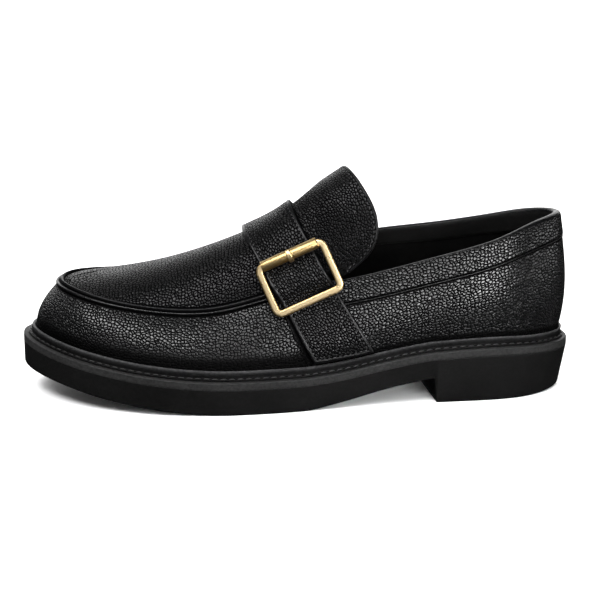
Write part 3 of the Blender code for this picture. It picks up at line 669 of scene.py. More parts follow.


# Materials

# Painted shade in the pebble creases: their share of the tone and of the gloss
CREASE_SHADE_GLOSS = 0.1
CREASE_SHADE_TONE = 0.2
CREASE_ROUGH = 0.3
PATCH_ROUGH = 0.03
LINING_GLOSS = 0.15
LINING_TONE = 0.7
LINING_ROUGH = (0.5, 0.62)
RUBBER_ROUGH = 0.06
RUBBER_CLOUD = 0.75
RUBBER_SHADED_TONE = 0.08
RUBBER_SPECK = 0.45
PEBBLE_CREASE = 0.28
PEBBLE_TILT = 0.25
PEBBLE_DOME = 1.0
PEBBLE_UNEVEN = 0.9
PEBBLE_SHAPE = (0.92, 1.12, 1.0)
PORE_DEPTH = 0.05
PORES_PER_PEBBLE = 3.5
BRUSH_STRETCH = (0.08, 1.0, 1.0)
BRUSH_ROUGH = 0.1
THREAD_TONE = 0.55
THREAD_ROUGH = (0.45, 0.6)
RIB_SCALE = 60.0
RIB_WAVER = 0.6
RIB_EDGE = (0.15, 0.5)
RIB_GROOVE_SHADE = (0.004, 0.004, 0.004)
RIB_LIGHT = (0.013, 0.013, 0.013)
RIB_ROUGH = (0.75, 0.55)

# Ranges of a noise that are mapped to the whole of an effect
NOISE_RANGE = (0.3, 0.7)
CLOUD_RANGE = (0.2, 0.8)
SPECK_RANGE = (0.35, 0.65)
BRUSH_RANGE = (0.25, 0.75)


class Nodes:
    """Shorthand for the nodes of one material."""

    def __init__(self, name):
        self.material = bpy.data.materials.new(name)
        self.material.use_nodes = True
        self.tree = self.material.node_tree
        self.shader = self.tree.nodes["Principled BSDF"]
        self.place = self.add("ShaderNodeTexCoord").outputs["Object"]

    def join(self, value, socket):
        if isinstance(value, bpy.types.NodeSocket):
            self.tree.links.new(value, socket)
        else:
            socket.default_value = value

    def add(self, kind, inputs=None, **settings):
        """Node with its settings, and with values or links for some of its inputs."""
        node = self.tree.nodes.new(kind)
        for key, value in settings.items():
            setattr(node, key, value)
        for key, value in (inputs or {}).items():
            self.join(value, node.inputs[key])
        return node

    def attribute(self, name, output="Fac"):
        return self.add("ShaderNodeAttribute", attribute_name=name).outputs[output]

    def math(self, operation, a, b):
        return self.add("ShaderNodeMath", {0: a, 1: b}, operation=operation).outputs[0]

    def vector(self, operation, a, b, output="Vector"):
        node = self.add("ShaderNodeVectorMath", {0: a, 1: b}, operation=operation)
        return node.outputs[output]

    def span(self, value, low, high, to_low=0.0, to_high=1.0):
        """Value mapped smoothly from low..high to another span."""
        inputs = {"Value": value, "From Min": low, "From Max": high, "To Min": to_low,
                  "To Max": to_high}
        return self.add("ShaderNodeMapRange", inputs, interpolation_type="SMOOTHSTEP").outputs[0]

    def noise(self, cells, detail=2.0, place=None, output="Fac"):
        inputs = {"Vector": place or self.place, "Scale": cells, "Detail": detail}
        return self.add("ShaderNodeTexNoise", inputs).outputs[output]

    def voronoi(self, place, cells, feature, dimensions="2D"):
        inputs = {"Vector": place, "Scale": cells, "Randomness": PEBBLE_UNEVEN}
        return self.add("ShaderNodeTexVoronoi", inputs, feature=feature,
                        voronoi_dimensions=dimensions)

    def shifted(self, place, cells, amount):
        """Coordinates stirred by a noise, so that cells lose their straight sides."""
        noise = self.noise(cells, place=place, output="Color")
        centred = self.vector("SUBTRACT", noise, (0.5, 0.5, 0.5))
        return self.vector("ADD", place, self.vector("MULTIPLY", centred, [amount] * 3))

    def tilt(self, place, whole, cells):
        """Height of a plane through each cell's centre, sloping in the cell's own direction."""
        offset = self.vector("SUBTRACT", place, whole.outputs["Position"])
        slope = self.vector("SUBTRACT", whole.outputs["Color"], (0.5, 0.5, 0.5))
        return self.math("MULTIPLY", self.vector("DOT_PRODUCT", offset, slope, "Value"), cells)

    def stretched(self, scale):
        return self.add("ShaderNodeMapping", {"Vector": self.place, "Scale": scale}).outputs[0]

    def between(self, factor, dark, light):
        inputs = {"Factor": factor, "A": (*dark, 1.0), "B": (*light, 1.0)}
        return self.add("ShaderNodeMix", inputs, data_type="RGBA").outputs["Result"]

    def bump(self, height, depth_mm, strength=1.0):
        inputs = {"Distance": depth_mm * MM, "Strength": strength, "Height": height}
        self.set(normal=self.add("ShaderNodeBump", inputs).outputs[0])

    def set(self, **values):
        for key, value in values.items():
            socket = key.replace("_", " ").title().replace("Ior", "IOR")
            self.join(value, self.shader.inputs[socket])


def leather(name, cell, depth, tone, shine, gloss):
    """Tumbled leather: pebbles of that size in millimetres, parted by duller creases whose darker
    colour and lower gloss are painted shade.
    """
    nodes = Nodes(name)
    cells = 1.0 / (cell * MM)
    flat = nodes.attribute("flat", "Vector")
    grain = nodes.attribute("grain")
    fold = nodes.attribute("fold")
    shaped = nodes.vector("MULTIPLY", flat, PEBBLE_SHAPE)
    place = nodes.shifted(shaped, 0.5 * cells, 0.5 * cell * MM)
    edge = nodes.voronoi(place, cells, "DISTANCE_TO_EDGE").outputs["Distance"]
    whole = nodes.voronoi(place, cells, "F1")
    middle = whole.outputs["Distance"]
    pebble = nodes.span(edge, 0.0, PEBBLE_CREASE)
    dome = nodes.math("MULTIPLY", nodes.math("MULTIPLY", middle, middle), -PEBBLE_DOME)
    tilt = nodes.math("MULTIPLY", nodes.tilt(place, whole, cells), PEBBLE_TILT)
    pores = nodes.math("MULTIPLY", nodes.noise(PORES_PER_PEBBLE * cells, 3.0, flat), PORE_DEPTH)
    height = nodes.math("ADD", nodes.math("ADD", pebble, dome), nodes.math("ADD", tilt, pores))
    low = nodes.math("MULTIPLY", nodes.math("SUBTRACT", 1.0, pebble), grain)
    # Painted shade: the creases and the fold attribute darken the colour and lower the gloss
    top = nodes.span(nodes.math("MAXIMUM", low, fold), 0.0, 1.0, 1.0, 0.0)
    nodes.set(base_color=nodes.between(top, [CREASE_SHADE_TONE * c for c in tone], tone))
    patch = nodes.noise(cells=45.0, detail=3.0)
    patch = nodes.span(patch, *NOISE_RANGE, -PATCH_ROUGH, PATCH_ROUGH)
    rough = nodes.span(top, 0.0, 1.0, shine + CREASE_ROUGH, shine)
    nodes.set(roughness=nodes.math("ADD", rough, patch))
    nodes.set(specular_ior_level=gloss)
    nodes.set(specular_ior_level=nodes.span(top, 0.0, 1.0, CREASE_SHADE_GLOSS * gloss, gloss))
    nodes.bump(height, depth, grain)
    return nodes.material


def lining(name, tone):
    """Thin smooth leather with a fine nap."""
    nodes = Nodes(name)
    grain = nodes.voronoi(nodes.place, 1400.0, "F1", "3D").outputs["Distance"]
    patch = nodes.noise(cells=60.0, detail=4.0)
    nodes.set(base_color=nodes.between(patch, [LINING_TONE * c for c in tone], tone))
    nodes.set(roughness=nodes.span(patch, *NOISE_RANGE, *LINING_ROUGH))
    nodes.set(specular_ior_level=LINING_GLOSS)
    nodes.bump(nodes.math("ADD", grain, nodes.math("MULTIPLY", patch, 2.0)), depth_mm=0.12)
    return nodes.material


def rubber(name, tone, rough, gloss, depth):
    """Moulded rubber: faint cloudiness and a fine matt skin."""
    nodes = Nodes(name)
    cloud = nodes.noise(cells=38.0, detail=5.0)
    fine = nodes.noise(cells=1900.0, detail=2.0)
    speck = nodes.noise(cells=750.0, detail=3.0)
    # Painted shade: the fold attribute darkens the tone, as on the bead's sides
    fold = nodes.attribute("fold")
    shade = nodes.math("MULTIPLY", nodes.span(cloud, *CLOUD_RANGE, RUBBER_CLOUD, 1.0),
                       nodes.span(fold, 0.0, 1.0, 1.0, RUBBER_SHADED_TONE))
    speck = nodes.span(speck, *SPECK_RANGE, 1.0 - RUBBER_SPECK, 1.0)
    shade = nodes.math("MULTIPLY", shade, speck)
    nodes.set(base_color=nodes.between(shade, (0.0, 0.0, 0.0), tone))
    nodes.set(roughness=nodes.span(cloud, *NOISE_RANGE, rough - RUBBER_ROUGH,
                                   rough + RUBBER_ROUGH))
    nodes.set(specular_ior_level=gloss)
    nodes.bump(fine, depth)
    return nodes.material


def ribbed_tread():
    """Underside of the sole: fine cross ribs."""
    nodes = Nodes("tread_rubber")
    inputs = {"Vector": nodes.place, "Scale": RIB_SCALE, "Distortion": RIB_WAVER}
    wave = nodes.add("ShaderNodeTexWave", inputs, wave_type="BANDS", bands_direction="X")
    rib = nodes.span(wave.outputs["Fac"], *RIB_EDGE)
    # Painted shade: the grooves between the ribs are darker than the ribs
    nodes.set(base_color=nodes.between(rib, RIB_GROOVE_SHADE, RIB_LIGHT))
    nodes.set(roughness=nodes.span(rib, 0.0, 1.0, *RIB_ROUGH))
    nodes.bump(rib, depth_mm=0.8)
    return nodes.material


def brushed_gold(name, dark, light, rough):
    """Gold plate with fine brush marks and softly worn patches."""
    nodes = Nodes(name)
    brush = nodes.noise(cells=900.0, detail=3.0, place=nodes.stretched(BRUSH_STRETCH))
    cloud = nodes.noise(cells=160.0, detail=2.0)
    nodes.set(base_color=nodes.between(cloud, dark, light), metallic=1.0)
    nodes.set(roughness=nodes.span(brush, *BRUSH_RANGE, rough, rough + BRUSH_ROUGH))
    return nodes.material


def thread(name, tone):
    """Twisted waxed thread."""
    nodes = Nodes(name)
    twist = nodes.noise(cells=2600.0, detail=1.0)
    nodes.set(base_color=nodes.between(twist, [THREAD_TONE * c for c in tone], tone))
    nodes.set(roughness=nodes.span(twist, *NOISE_RANGE, *THREAD_ROUGH))
    nodes.bump(twist, depth_mm=0.08)
    return nodes.material


BLACK = (0.001, 0.001, 0.0012)
# One leather throughout: the apron, strap and tab copies have less gloss than the wall, so they
# read darker under the lamps: painted shade
wall_leather = leather("pebbled_leather", cell=1.75, depth=0.16, tone=BLACK, shine=0.26, gloss=0.48)
apron_leather = leather("apron_leather", cell=1.65, depth=0.19, tone=BLACK, shine=0.32, gloss=0.21)
strap_leather = leather("strap_leather", cell=1.65, depth=0.2, tone=BLACK, shine=0.32, gloss=0.2)
tab_leather = leather("tab_leather", cell=1.65, depth=0.2, tone=BLACK, shine=0.3, gloss=0.28)
lining_leather = lining("lining_leather", (0.0014, 0.0014, 0.0014))
facing_leather = lining("facing_leather", (0.0035, 0.0035, 0.0035))
sole_rubber = rubber("sole_rubber", (0.0028, 0.0028, 0.0028), rough=0.62, gloss=0.16, depth=0.12)
# The bead's tone is lighter than its real near black, so its unshaded crest carries a painted
# highlight
bead_rubber = rubber("bead_rubber", (0.04, 0.04, 0.041), rough=0.36, gloss=0.04, depth=0.03)
welt_rubber = rubber("welt_rubber", (0.016, 0.016, 0.016), rough=0.58, gloss=0.16, depth=0.14)
tread_rubber = ribbed_tread()
gold = brushed_gold("pale_gold", (0.76, 0.58, 0.32), (0.83, 0.66, 0.39), rough=0.26)
# Painted shade: the roller takes a darker, more saturated copy of the pale gold for its darker
# reflections
roller_gold = brushed_gold("roller_gold", (0.42, 0.29, 0.12), (0.5, 0.36, 0.17), rough=0.34)
# Painted shade: a darker copy of the pale gold for the bars' sides, standing in for their darker
# reflections
shaded_rim_gold = brushed_gold("shaded_rim_gold", (0.4, 0.26, 0.1), (0.47, 0.32, 0.14), rough=0.4)
# Painted shade: the prong takes a darker copy of the pale gold, which tones down its highlight
prong_gold = brushed_gold("prong_gold", (0.6, 0.44, 0.22), (0.67, 0.51, 0.28), rough=0.36)
black_thread = thread("black_thread", (0.028, 0.028, 0.029))
welt_thread = thread("welt_thread", (0.007, 0.007, 0.007))


# Upper


def seam_fade(x):
    """The apron seam runs flat where the strap lies over it."""
    return 1.0 - ease((x - SEAM_FADE_START) / (SEAM_FADE_END - SEAM_FADE_START))


def seam_relief(s):
    """Across the apron seam: s is negative on the wall and positive on the apron."""
    band = SEAM_BASE * ease((SEAM_HALF + SEAM_EDGE - np.abs(s)) / (2.0 * SEAM_EDGE))
    return (band + ridge(np.abs(s), SEAM_RIDGE_AT, SEAM_RIDGE_HALF, SEAM_RIDGE_RISE)
            + crease(s, 0.0, CREASE_HALF, SEAM_CREASE)
            + crease(np.abs(s), SEAM_HALF + SEAM_EDGE, CREASE_HALF, SEAM_CREASE))


def seam_painted_shade(s):
    """Painted shade of the seam: dark lines between its ridges and above them, and a painted shadow
    under the overhang.
    """
    above = nearness(s, SEAM_HALF + SEAM_EDGE, SEAM_LINE_HALF)
    under = nearness(s, -SEAM_HALF - SEAM_EDGE, SEAM_SHADE_HALF)
    lines = np.maximum(nearness(s, 0.0, SEAM_LINE_HALF), np.maximum(above, under))
    return np.clip(PAINTED_SHADE_GAIN * lines, 0.0, 1.0)


# Painted shade: dark lines along both sides of the cuff's piped seam
def cuff_painted_shade(d):
    lines = nearness(np.abs(d - CUFF_DEPTH), CUFF_PIPE_HALF + CUFF_LINE_OUT, CUFF_LINE_HALF)
    return np.clip(PAINTED_SHADE_GAIN * lines, 0.0, 1.0)


def cuff_relief(d):
    """Padded cuff below the topline, closed off by a piped seam."""
    swell = (CUFF_SWELL * ease((d + CUFF_SWELL_ABOVE) / CUFF_SWELL_RUN)
             * (1.0 - ease((d - CUFF_DEPTH + CUFF_SWELL_END) / CUFF_SWELL_FALL)))
    return (swell + ridge(d, CUFF_DEPTH, CUFF_PIPE_HALF, CUFF_PIPE_RISE)
            + crease(d, CUFF_DEPTH - CUFF_PIPE_HALF, CREASE_HALF, CUFF_CREASE)
            + crease(d, CUFF_DEPTH + CUFF_PIPE_HALF, CREASE_HALF, CUFF_CREASE))


def apron_flat(points):
    """Place on the flattened apron: along the crown, and out from it to either side."""
    x = np.linspace(*CROWN_SPAN, CROWN_STEPS)
    run = np.concatenate([[0.0], np.cumsum(np.hypot(np.diff(x), np.diff(crown(x))))])
    side = points[:, 1] - SPINE_SIDE
    out = np.hypot(side, points[:, 2] - crown(points[:, 0]))
    return np.column_stack([np.interp(points[:, 0], x, run), np.copysign(out, side)])


Skin = namedtuple("Skin", "points normal quads apron_quads relief hide collar throat")


def upper_skin(apron_columns, collar_columns, top_rows, low_rows, seam_rows, apron_rows):
    """Skin of the upper without its relief, with what the relief is at each point."""
    n = apron_columns
    toe = last.toe()
    outer_throat = last.where_x(THROAT_X, True)
    inner_throat = last.where_x(THROAT_X, False)
    a = np.linspace(0.0, 1.0, n + 1) ** COLUMN_POWER
    outer_u = toe + (outer_throat - toe) * a[::-1]
    inner_u = toe + (inner_throat - toe) * a[1:]
    span = outer_throat + last.length - inner_throat
    collar_u = inner_throat + span * np.arange(1, collar_columns) / collar_columns
    u = np.concatenate([outer_u, inner_u, collar_u])
    apron_count = 2 * n + 1
    in_apron = np.arange(len(u)) < apron_count
    length = wall_length(u)
    behind = np.minimum(np.mod(u - inner_throat, last.length),
                        np.mod(outer_throat - u, last.length))
    cuff = np.where(in_apron, 0.0, ease(behind / CUFF_RUN_IN))
    depth = top_rows[None, :] + cuff[:, None] * RIM_RISE * (1.0 - top_rows / top_rows.max())
    t_top = 1.0 - depth / length[:, None]
    t = np.hstack([t_top[:, :1] * np.linspace(0.0, 1.0, low_rows, endpoint=False), t_top])
    grid = np.stack([wall_points(u, t[:, j]) for j in range(t.shape[1])], axis=1)
    count, rows = grid.shape[:2]
    depth = np.hstack([np.full((count, low_rows), DEEP), depth])
    edge_x = grid[:, -1, 0]
    seam_size = np.where(in_apron, seam_fade(edge_x), 0.0)
    relief = seam_size[:, None] * seam_relief(-depth) + cuff[:, None] * cuff_relief(depth)
    on_pipe = np.abs(depth - CUFF_DEPTH) < CUFF_PIPE_HALF + CUFF_PIPE_PLAIN
    plain = np.maximum(seam_size[:, None] * (np.abs(depth) < SEAM_REACH), cuff[:, None] * on_pipe)
    fold = np.maximum(seam_size[:, None] * seam_painted_shade(-depth), cuff[:, None] * cuff_painted_shade(depth))
    # Painted shade on the foot of the wall, reaching higher along the vamp
    fade = FOOT_FADE + VAMP_FADE * (1.0 - ease((edge_x - VAMP_END) / VAMP_RUN))
    fold = np.maximum(fold, 1.0 - ease((length[:, None] * t - FOOT_DARK) / fade[:, None]))
    quads = grid_quads(count, rows, closed=True)

    # Apron columns of both sides run in to a shared spine
    seam = grid[:apron_count, -1]
    step = np.abs(np.arange(apron_count) - n)
    spine = spine_point(a, seam[n - np.arange(n + 1)], seam[n + np.arange(n + 1)])
    ends = spine[step]
    reach = np.linalg.norm(ends - seam, axis=1)
    inward = np.concatenate([seam_rows, np.full(apron_rows - 1, DEEP)])
    strip_rows = len(inward)
    strip_size = seam_size[:apron_count, None]
    strip_relief = strip_size * seam_relief(inward)
    strip_plain = strip_size * (inward < SEAM_REACH)
    strip_painted_shade = strip_size * seam_painted_shade(inward)
    start = seam_rows[-1] / reach[:, None]
    onward = start + (1.0 - start) * np.arange(1, apron_rows) / apron_rows
    v = np.hstack([seam_rows / reach[:, None], onward])
    strips = np.stack([apron_points(seam, ends, a[step], v[:, k]) for k in range(strip_rows)],
                      axis=1)
    base = count * rows
    first_spine = base + apron_count * strip_rows
    numbers = np.zeros((apron_count, strip_rows + 2), int)
    numbers[:, 0] = np.arange(apron_count) * rows + rows - 1
    numbers[:, 1:-1] = base + np.arange(apron_count * strip_rows).reshape(apron_count, -1)
    numbers[:, -1] = first_spine + step
    apron_quads = np.stack([numbers[:-1, :-1], numbers[1:, :-1], numbers[1:, 1:],
                            numbers[:-1, 1:]], axis=-1).reshape(-1, 4)
    points = np.vstack([grid.reshape(-1, 3), strips.reshape(-1, 3), spine])
    relief, plain, fold = (
        np.concatenate([wall.ravel(), strip.ravel(), np.zeros(n + 1)])
        for wall, strip in ((relief, strip_relief), (plain, strip_plain), (fold, strip_painted_shade)))
    wall_flat = np.stack([np.broadcast_to(u[:, None], t.shape), length[:, None] * (1.0 - t)],
                         axis=-1).reshape(-1, 2)
    hide = Hide(1.0 - SEAM_GRAIN_LESS * plain, fold,
                np.vstack([wall_flat, apron_flat(points[base:])]))
    normal = point_normals(points, np.vstack([quads, apron_quads]))
    if normal[0] @ (points[0] - np.array([0.0, 0.0, points[0, 2]])) < 0.0:
        normal = -normal
    collar = np.concatenate([[apron_count - 1], np.arange(apron_count, count), [0]])
    throat = np.concatenate([numbers[0], numbers[-1, -2::-1]])
    tops = np.arange(count) * rows + rows - 1
    return Skin(points, normal, quads, apron_quads, relief, hide, tops[collar], throat)


def even(start, stop, step):
    return np.linspace(start, stop, int(round(abs(stop - start) / step)) + 1)


FINE_TOP = np.unique(np.concatenate([
    even(0.0, 3.4, 0.2), even(4.0, 12.0, 1.0), even(12.4, 15.8, 0.2), even(16.4, 20.0, 0.9),
]))[::-1]


def make_upper():
    """Outer leather of the upper with its topline rolled over to the inside."""
    skin = upper_skin(apron_columns=150, collar_columns=260, top_rows=FINE_TOP, low_rows=26,
                      seam_rows=even(0.2, 3.4, 0.2), apron_rows=30)
    outer = skin.points + skin.normal * skin.relief[:, None]
    n = len(outer)
    top = outer[skin.collar]
    normal = skin.normal[skin.collar]
    rise = top - outer[skin.collar - 1]
    rise /= np.linalg.norm(rise, axis=1, keepdims=True)
    heel = ease((top[:, :1] - RIM_PAD_START) / RIM_PAD_RUN)
    proud = FACING_PROUD + (RIM_PAD - FACING_PROUD) * heel
    half = 0.5 * (WALL + proud)
    rolled = []
    for phi in np.radians(ROLL_DEGREES):
        turned = math.cos(phi) * normal + ROLL_HEIGHT * math.sin(phi) * rise
        rolled.append(top - normal * half + half * turned)
    depths = FINE_TOP[::-1]
    for k in np.flatnonzero((depths > FACING_START) & (depths <= FACING_DEPTH)):
        below = skin.collar - k
        rolled.append(skin.points[below] - skin.normal[below] * (WALL + proud))
    rolled.append(rolled[-1] + normal * (proud + FACING_SINK))
    strip = np.stack([top] + rolled, axis=1)
    columns, rows = strip.shape[:2]
    rim = grid_quads(columns, rows, start=n)
    points = np.vstack([outer, strip.reshape(-1, 3)])
    hide = Hide(np.concatenate([skin.hide.grain, np.full(columns * rows, ROLL_GRAIN)]),
                np.concatenate([skin.hide.fold, np.zeros(columns * rows)]),
                np.vstack([skin.hide.flat, flattened(strip)]))
    quads = np.vstack([skin.quads, skin.apron_quads, rim])
    rolled_over = np.arange(rows - 1) >= len(ROLL_DEGREES)
    index = np.concatenate([np.zeros(len(skin.quads)), np.ones(len(skin.apron_quads)),
                            np.tile(np.where(rolled_over, 2, 1), columns - 1)])
    add_piece("upper_leather", points, quads, [wall_leather, apron_leather, facing_leather],
              "leather", "upper", index, hide)
    return outer, skin


def make_lining():
    """Inner face of the upper, at a coarser step."""
    skin = upper_skin(apron_columns=60, collar_columns=110, top_rows=even(0.0, 20.0, 2.5)[::-1],
                      low_rows=10, seam_rows=even(1.5, 3.0, 1.5), apron_rows=14)
    points = skin.points - skin.normal * WALL
    add_piece("collar_lining", points, np.vstack([skin.quads, skin.apron_quads]),
              [lining_leather], "lining", "upper", inside=True)


# Tongue


def tongue_sheet(throat):
    """Arched sheet above the throat, as columns across and rows up to its free edge."""
    along, up = tilted(TONGUE_TILT)
    top = np.array(TONGUE_TOP)
    degrees = np.linspace(-90.0, 90.0, TONGUE_COLUMNS)
    angle = np.radians(degrees)
    end_a = np.where(degrees < 0.0, follow(TONGUE_EDGE, "outer", np.abs(degrees)),
                     follow(TONGUE_EDGE, "inner", np.abs(degrees)))
    side = np.where(angle < 0.0, top[1] - throat[0, 1], throat[-1, 1] - top[1])
    side = side * TONGUE_EDGE_IN * np.sin(angle)
    base = np.column_stack([np.interp(top[1] + side, throat[:, 1], throat[:, k])
                            for k in range(3)])
    base_a = (base - top) @ along
    depth = np.where(angle < 0.0, TONGUE_DEPTH_OUTER, TONGUE_DEPTH_INNER)
    half = np.where(angle < 0.0, TONGUE_HALF_OUTER, TONGUE_HALF_INNER)

    def arch(a):
        points = top + np.outer(a, along) - np.outer(depth * (1.0 - np.cos(angle)), up)
        points[:, 1] += half * np.sin(angle)
        return points

    fit = base - arch(base_a)
    rows = []
    for f in steps_to_edge(TONGUE_FINE_FROM, coarse=44, fine=26):
        rows.append(arch(base_a + (end_a - base_a) * f) + fit * (1.0 - ease(f / TONGUE_FIT_SHARE)))
    return np.stack(rows, axis=1) + along * GAP


def distance_to(line, points):
    """Distance of each point from a finely stepped line."""
    best = np.full(len(points), np.inf)
    for a, b in zip(line[:-1], line[1:]):
        along = b - a
        f = np.clip((points - a) @ along / max(along @ along, TINY), 0.0, 1.0)
        best = np.minimum(best, np.linalg.norm(points - a - f[:, None] * along, axis=1))
    return best


def groove(e):
    return crease(e, STITCH_IN, GROOVE_HALF, GROOVE_DEPTH)


# Painted shade in the stitch groove
def groove_painted_shade(e):
    return GROOVE_SHADE * nearness(e, STITCH_IN, GROOVE_HALF)


def make_tongue(throat):
    grid = tongue_sheet(throat)
    columns, rows = grid.shape[:2]
    points = grid.reshape(-1, 3)
    normal = point_normals(points, grid_quads(columns, rows))
    middle = columns // 2 * rows
    normal *= math.copysign(1.0, normal[middle, 2])
    rim = grid[:, -1]
    e = distance_to(rim, points)
    outer = points + normal * (rounded_edge(e) + groove(e))[:, None]
    inner = points - normal * (TONGUE_THICK + rounded_edge(e))[:, None]
    body, quads = shell(outer, inner, columns, rows)
    half = (columns - 1) * (rows - 1)
    index = np.zeros(len(quads))
    index[half:2 * half] = 1
    grain = np.where(e < TONGUE_RIM_PLAIN, TONGUE_RIM_GRAIN, 1.0)
    add_piece("tongue_leather", body, quads, [apron_leather, lining_leather], "leather",
              "tongue", index, both_faces(grain, groove_painted_shade(e), grid))
    line = []
    for k in range(columns):
        column_e = e[k * rows:(k + 1) * rows]
        if column_e[0] > STITCH_IN + 1.0:
            at = rows - 1 - int(np.argmax(column_e[::-1] > STITCH_IN))
            line.append(k * rows + at)
    return points, grid_quads(columns, rows), (outer[line], normal[line])


# Straps


class StrapPath:
    """Wraps a strap round upper and tongue in planes square to the instep."""

    def __init__(self, skins):
        self.wide, self.up = tilted(STRAP_TILT)
        self.side = np.array([0.0, -1.0, 0.0])
        points = []
        faces = []
        for skin, quads in skins:
            faces += (quads + len(points)).tolist()
            points += skin.tolist()
        self.tree = BVHTree.FromPolygons(points, faces)
        self.angles = np.radians(np.linspace(-PATH_DEGREES, PATH_DEGREES, PATH_STEPS))
        edge = STRAP_HALF + PATH_MARGIN
        self.lanes = np.linspace(-edge, edge, PATH_LANES)
        self.skin = np.array([[self.cast(lane, angle) for angle in self.angles]
                              for lane in self.lanes])
        # Rays that slip between tongue and topline are bridged
        for line in self.skin:
            good = line > PATH_LEAST
            line[~good] = np.interp(self.angles[~good], self.angles[good], line[good])
        self.radius = self.draped(self.skin)

    def cast(self, lane, angle):
        start = self.origin(lane)
        ray = math.cos(angle) * self.up + math.sin(angle) * self.side
        hit = self.tree.ray_cast(Vector(start + PATH_FAR * ray), Vector(-ray))
        return 0.0 if hit[0] is None else PATH_FAR - hit[3]

    @staticmethod
    def draped(radius):
        """Highest radius nearby, smoothed, so that the strap bridges small steps."""
        high = radius.copy()
        for axis, reach in enumerate(DRAPE_REACH):
            for step in range(-reach, reach + 1):
                moved = np.roll(radius, step, axis=axis)
                high = np.maximum(high, moved)
            radius = high.copy()
        for axis, width in enumerate(DRAPE_WINDOW):
            window = np.hanning(width + 2)[1:-1]
            window /= window.sum()
            high = np.apply_along_axis(
                lambda line: np.convolve(np.pad(line, width // 2, mode="edge"), window, "valid"),
                axis, high)
        return high

    def origin(self, lane):
        """Points inside the shoe that the rays of those lanes start from."""
        return (np.asarray(STRAP_CENTRE + lane)[..., None] * self.wide + STRAP_AXIS_LIFT * self.up
                + np.array([0.0, STRAP_AXIS_Y, 0.0]))

    def points(self, lane, angle, lift, table=None):
        """Points at arrays of lanes and angles, lifted off the draped or another table."""
        table = self.radius if table is None else table
        i = (lane - self.lanes[0]) / (self.lanes[1] - self.lanes[0])
        j = (angle - self.angles[0]) / (self.angles[1] - self.angles[0])
        i0 = np.clip(np.floor(i).astype(int), 0, len(self.lanes) - 2)
        j0 = np.clip(np.floor(j).astype(int), 0, len(self.angles) - 2)
        a, b = i - i0, j - j0
        radius = ((1 - a) * (1 - b) * table[i0, j0] + a * (1 - b) * table[i0 + 1, j0]
                  + (1 - a) * b * table[i0, j0 + 1] + a * b * table[i0 + 1, j0 + 1])
        ray = np.cos(angle)[..., None] * self.up + np.sin(angle)[..., None] * self.side
        return self.origin(lane) + (radius + lift)[..., None] * ray

    def end_angle(self, lane, sign):
        """Angle at which a lane of the strap comes down to just above the welt bead."""
        angle = sign * np.radians(np.arange(END_FROM, END_TO, END_STEP))
        line = self.points(np.full(len(angle), lane), angle, np.full(len(angle), STRAP_LIFT))
        low = line[:, 2] < welt_top(line[:, 0]) + STRAP_END_LIFT
        return float(angle[np.argmax(low)]) if low.any() else float(angle[-1])


EDGE_STEPS = np.array([0.0, 0.08, 0.22, 0.45, 0.9, 1.3, 1.6, 1.8, 2.0, 2.2, 2.4, 2.6, 2.8, 3.2,
                       4.0, 5.2, 6.6, 8.2, 10.0, 12.0, 13.6])
LANES = np.concatenate([EDGE_STEPS - STRAP_HALF, [0.0],
                        (STRAP_HALF - EDGE_STEPS)[::-1]]) / STRAP_HALF
STITCH_LANE = EDGE_STEPS.tolist().index(STITCH_IN)


Sheet = namedtuple("Sheet", "body quads hide outer normal")


def strap_sheet(path, angles, half, lift, end_edge):
    """Strap as columns along its length and rows across, with its edges and stitch grooves."""
    lane = LANES[None, :] * half[:, None]
    base = path.points(lane, angles, STRAP_LIFT + lift)
    columns, rows = base.shape[:2]
    points = base.reshape(-1, 3)
    normal = point_normals(points, grid_quads(columns, rows))
    middle = columns // 2 * rows + rows // 2
    if normal[middle] @ (points[middle] - path.origin(0.0)) < 0.0:
        normal = -normal
    e = half[:, None] - np.abs(lane)
    if end_edge:
        run = np.linalg.norm(np.diff(base, axis=0), axis=2)
        left = np.vstack([np.cumsum(run[::-1], axis=0)[::-1], np.zeros((1, rows))])
        e = np.minimum(e, left)
    e = e.ravel()
    outer = points + normal * (STRAP_THICK + rounded_edge(e) + groove(e))[:, None]
    under = path.points(lane, angles, np.full(lane.shape, STRAP_UNDER), path.skin).reshape(-1, 3)
    body, quads = shell(outer, under, columns, rows)
    # Painted shade in the stitch grooves and a painted contact shadow along the cut edges
    fold = np.maximum(groove_painted_shade(e), nearness(e, 0.0, EDGE_SHADOW))
    hide = both_faces(np.where(e < RIM_PLAIN, RIM_GRAIN, 1.0), fold, base)
    return Sheet(body, quads, hide, outer.reshape(base.shape), normal.reshape(base.shape))


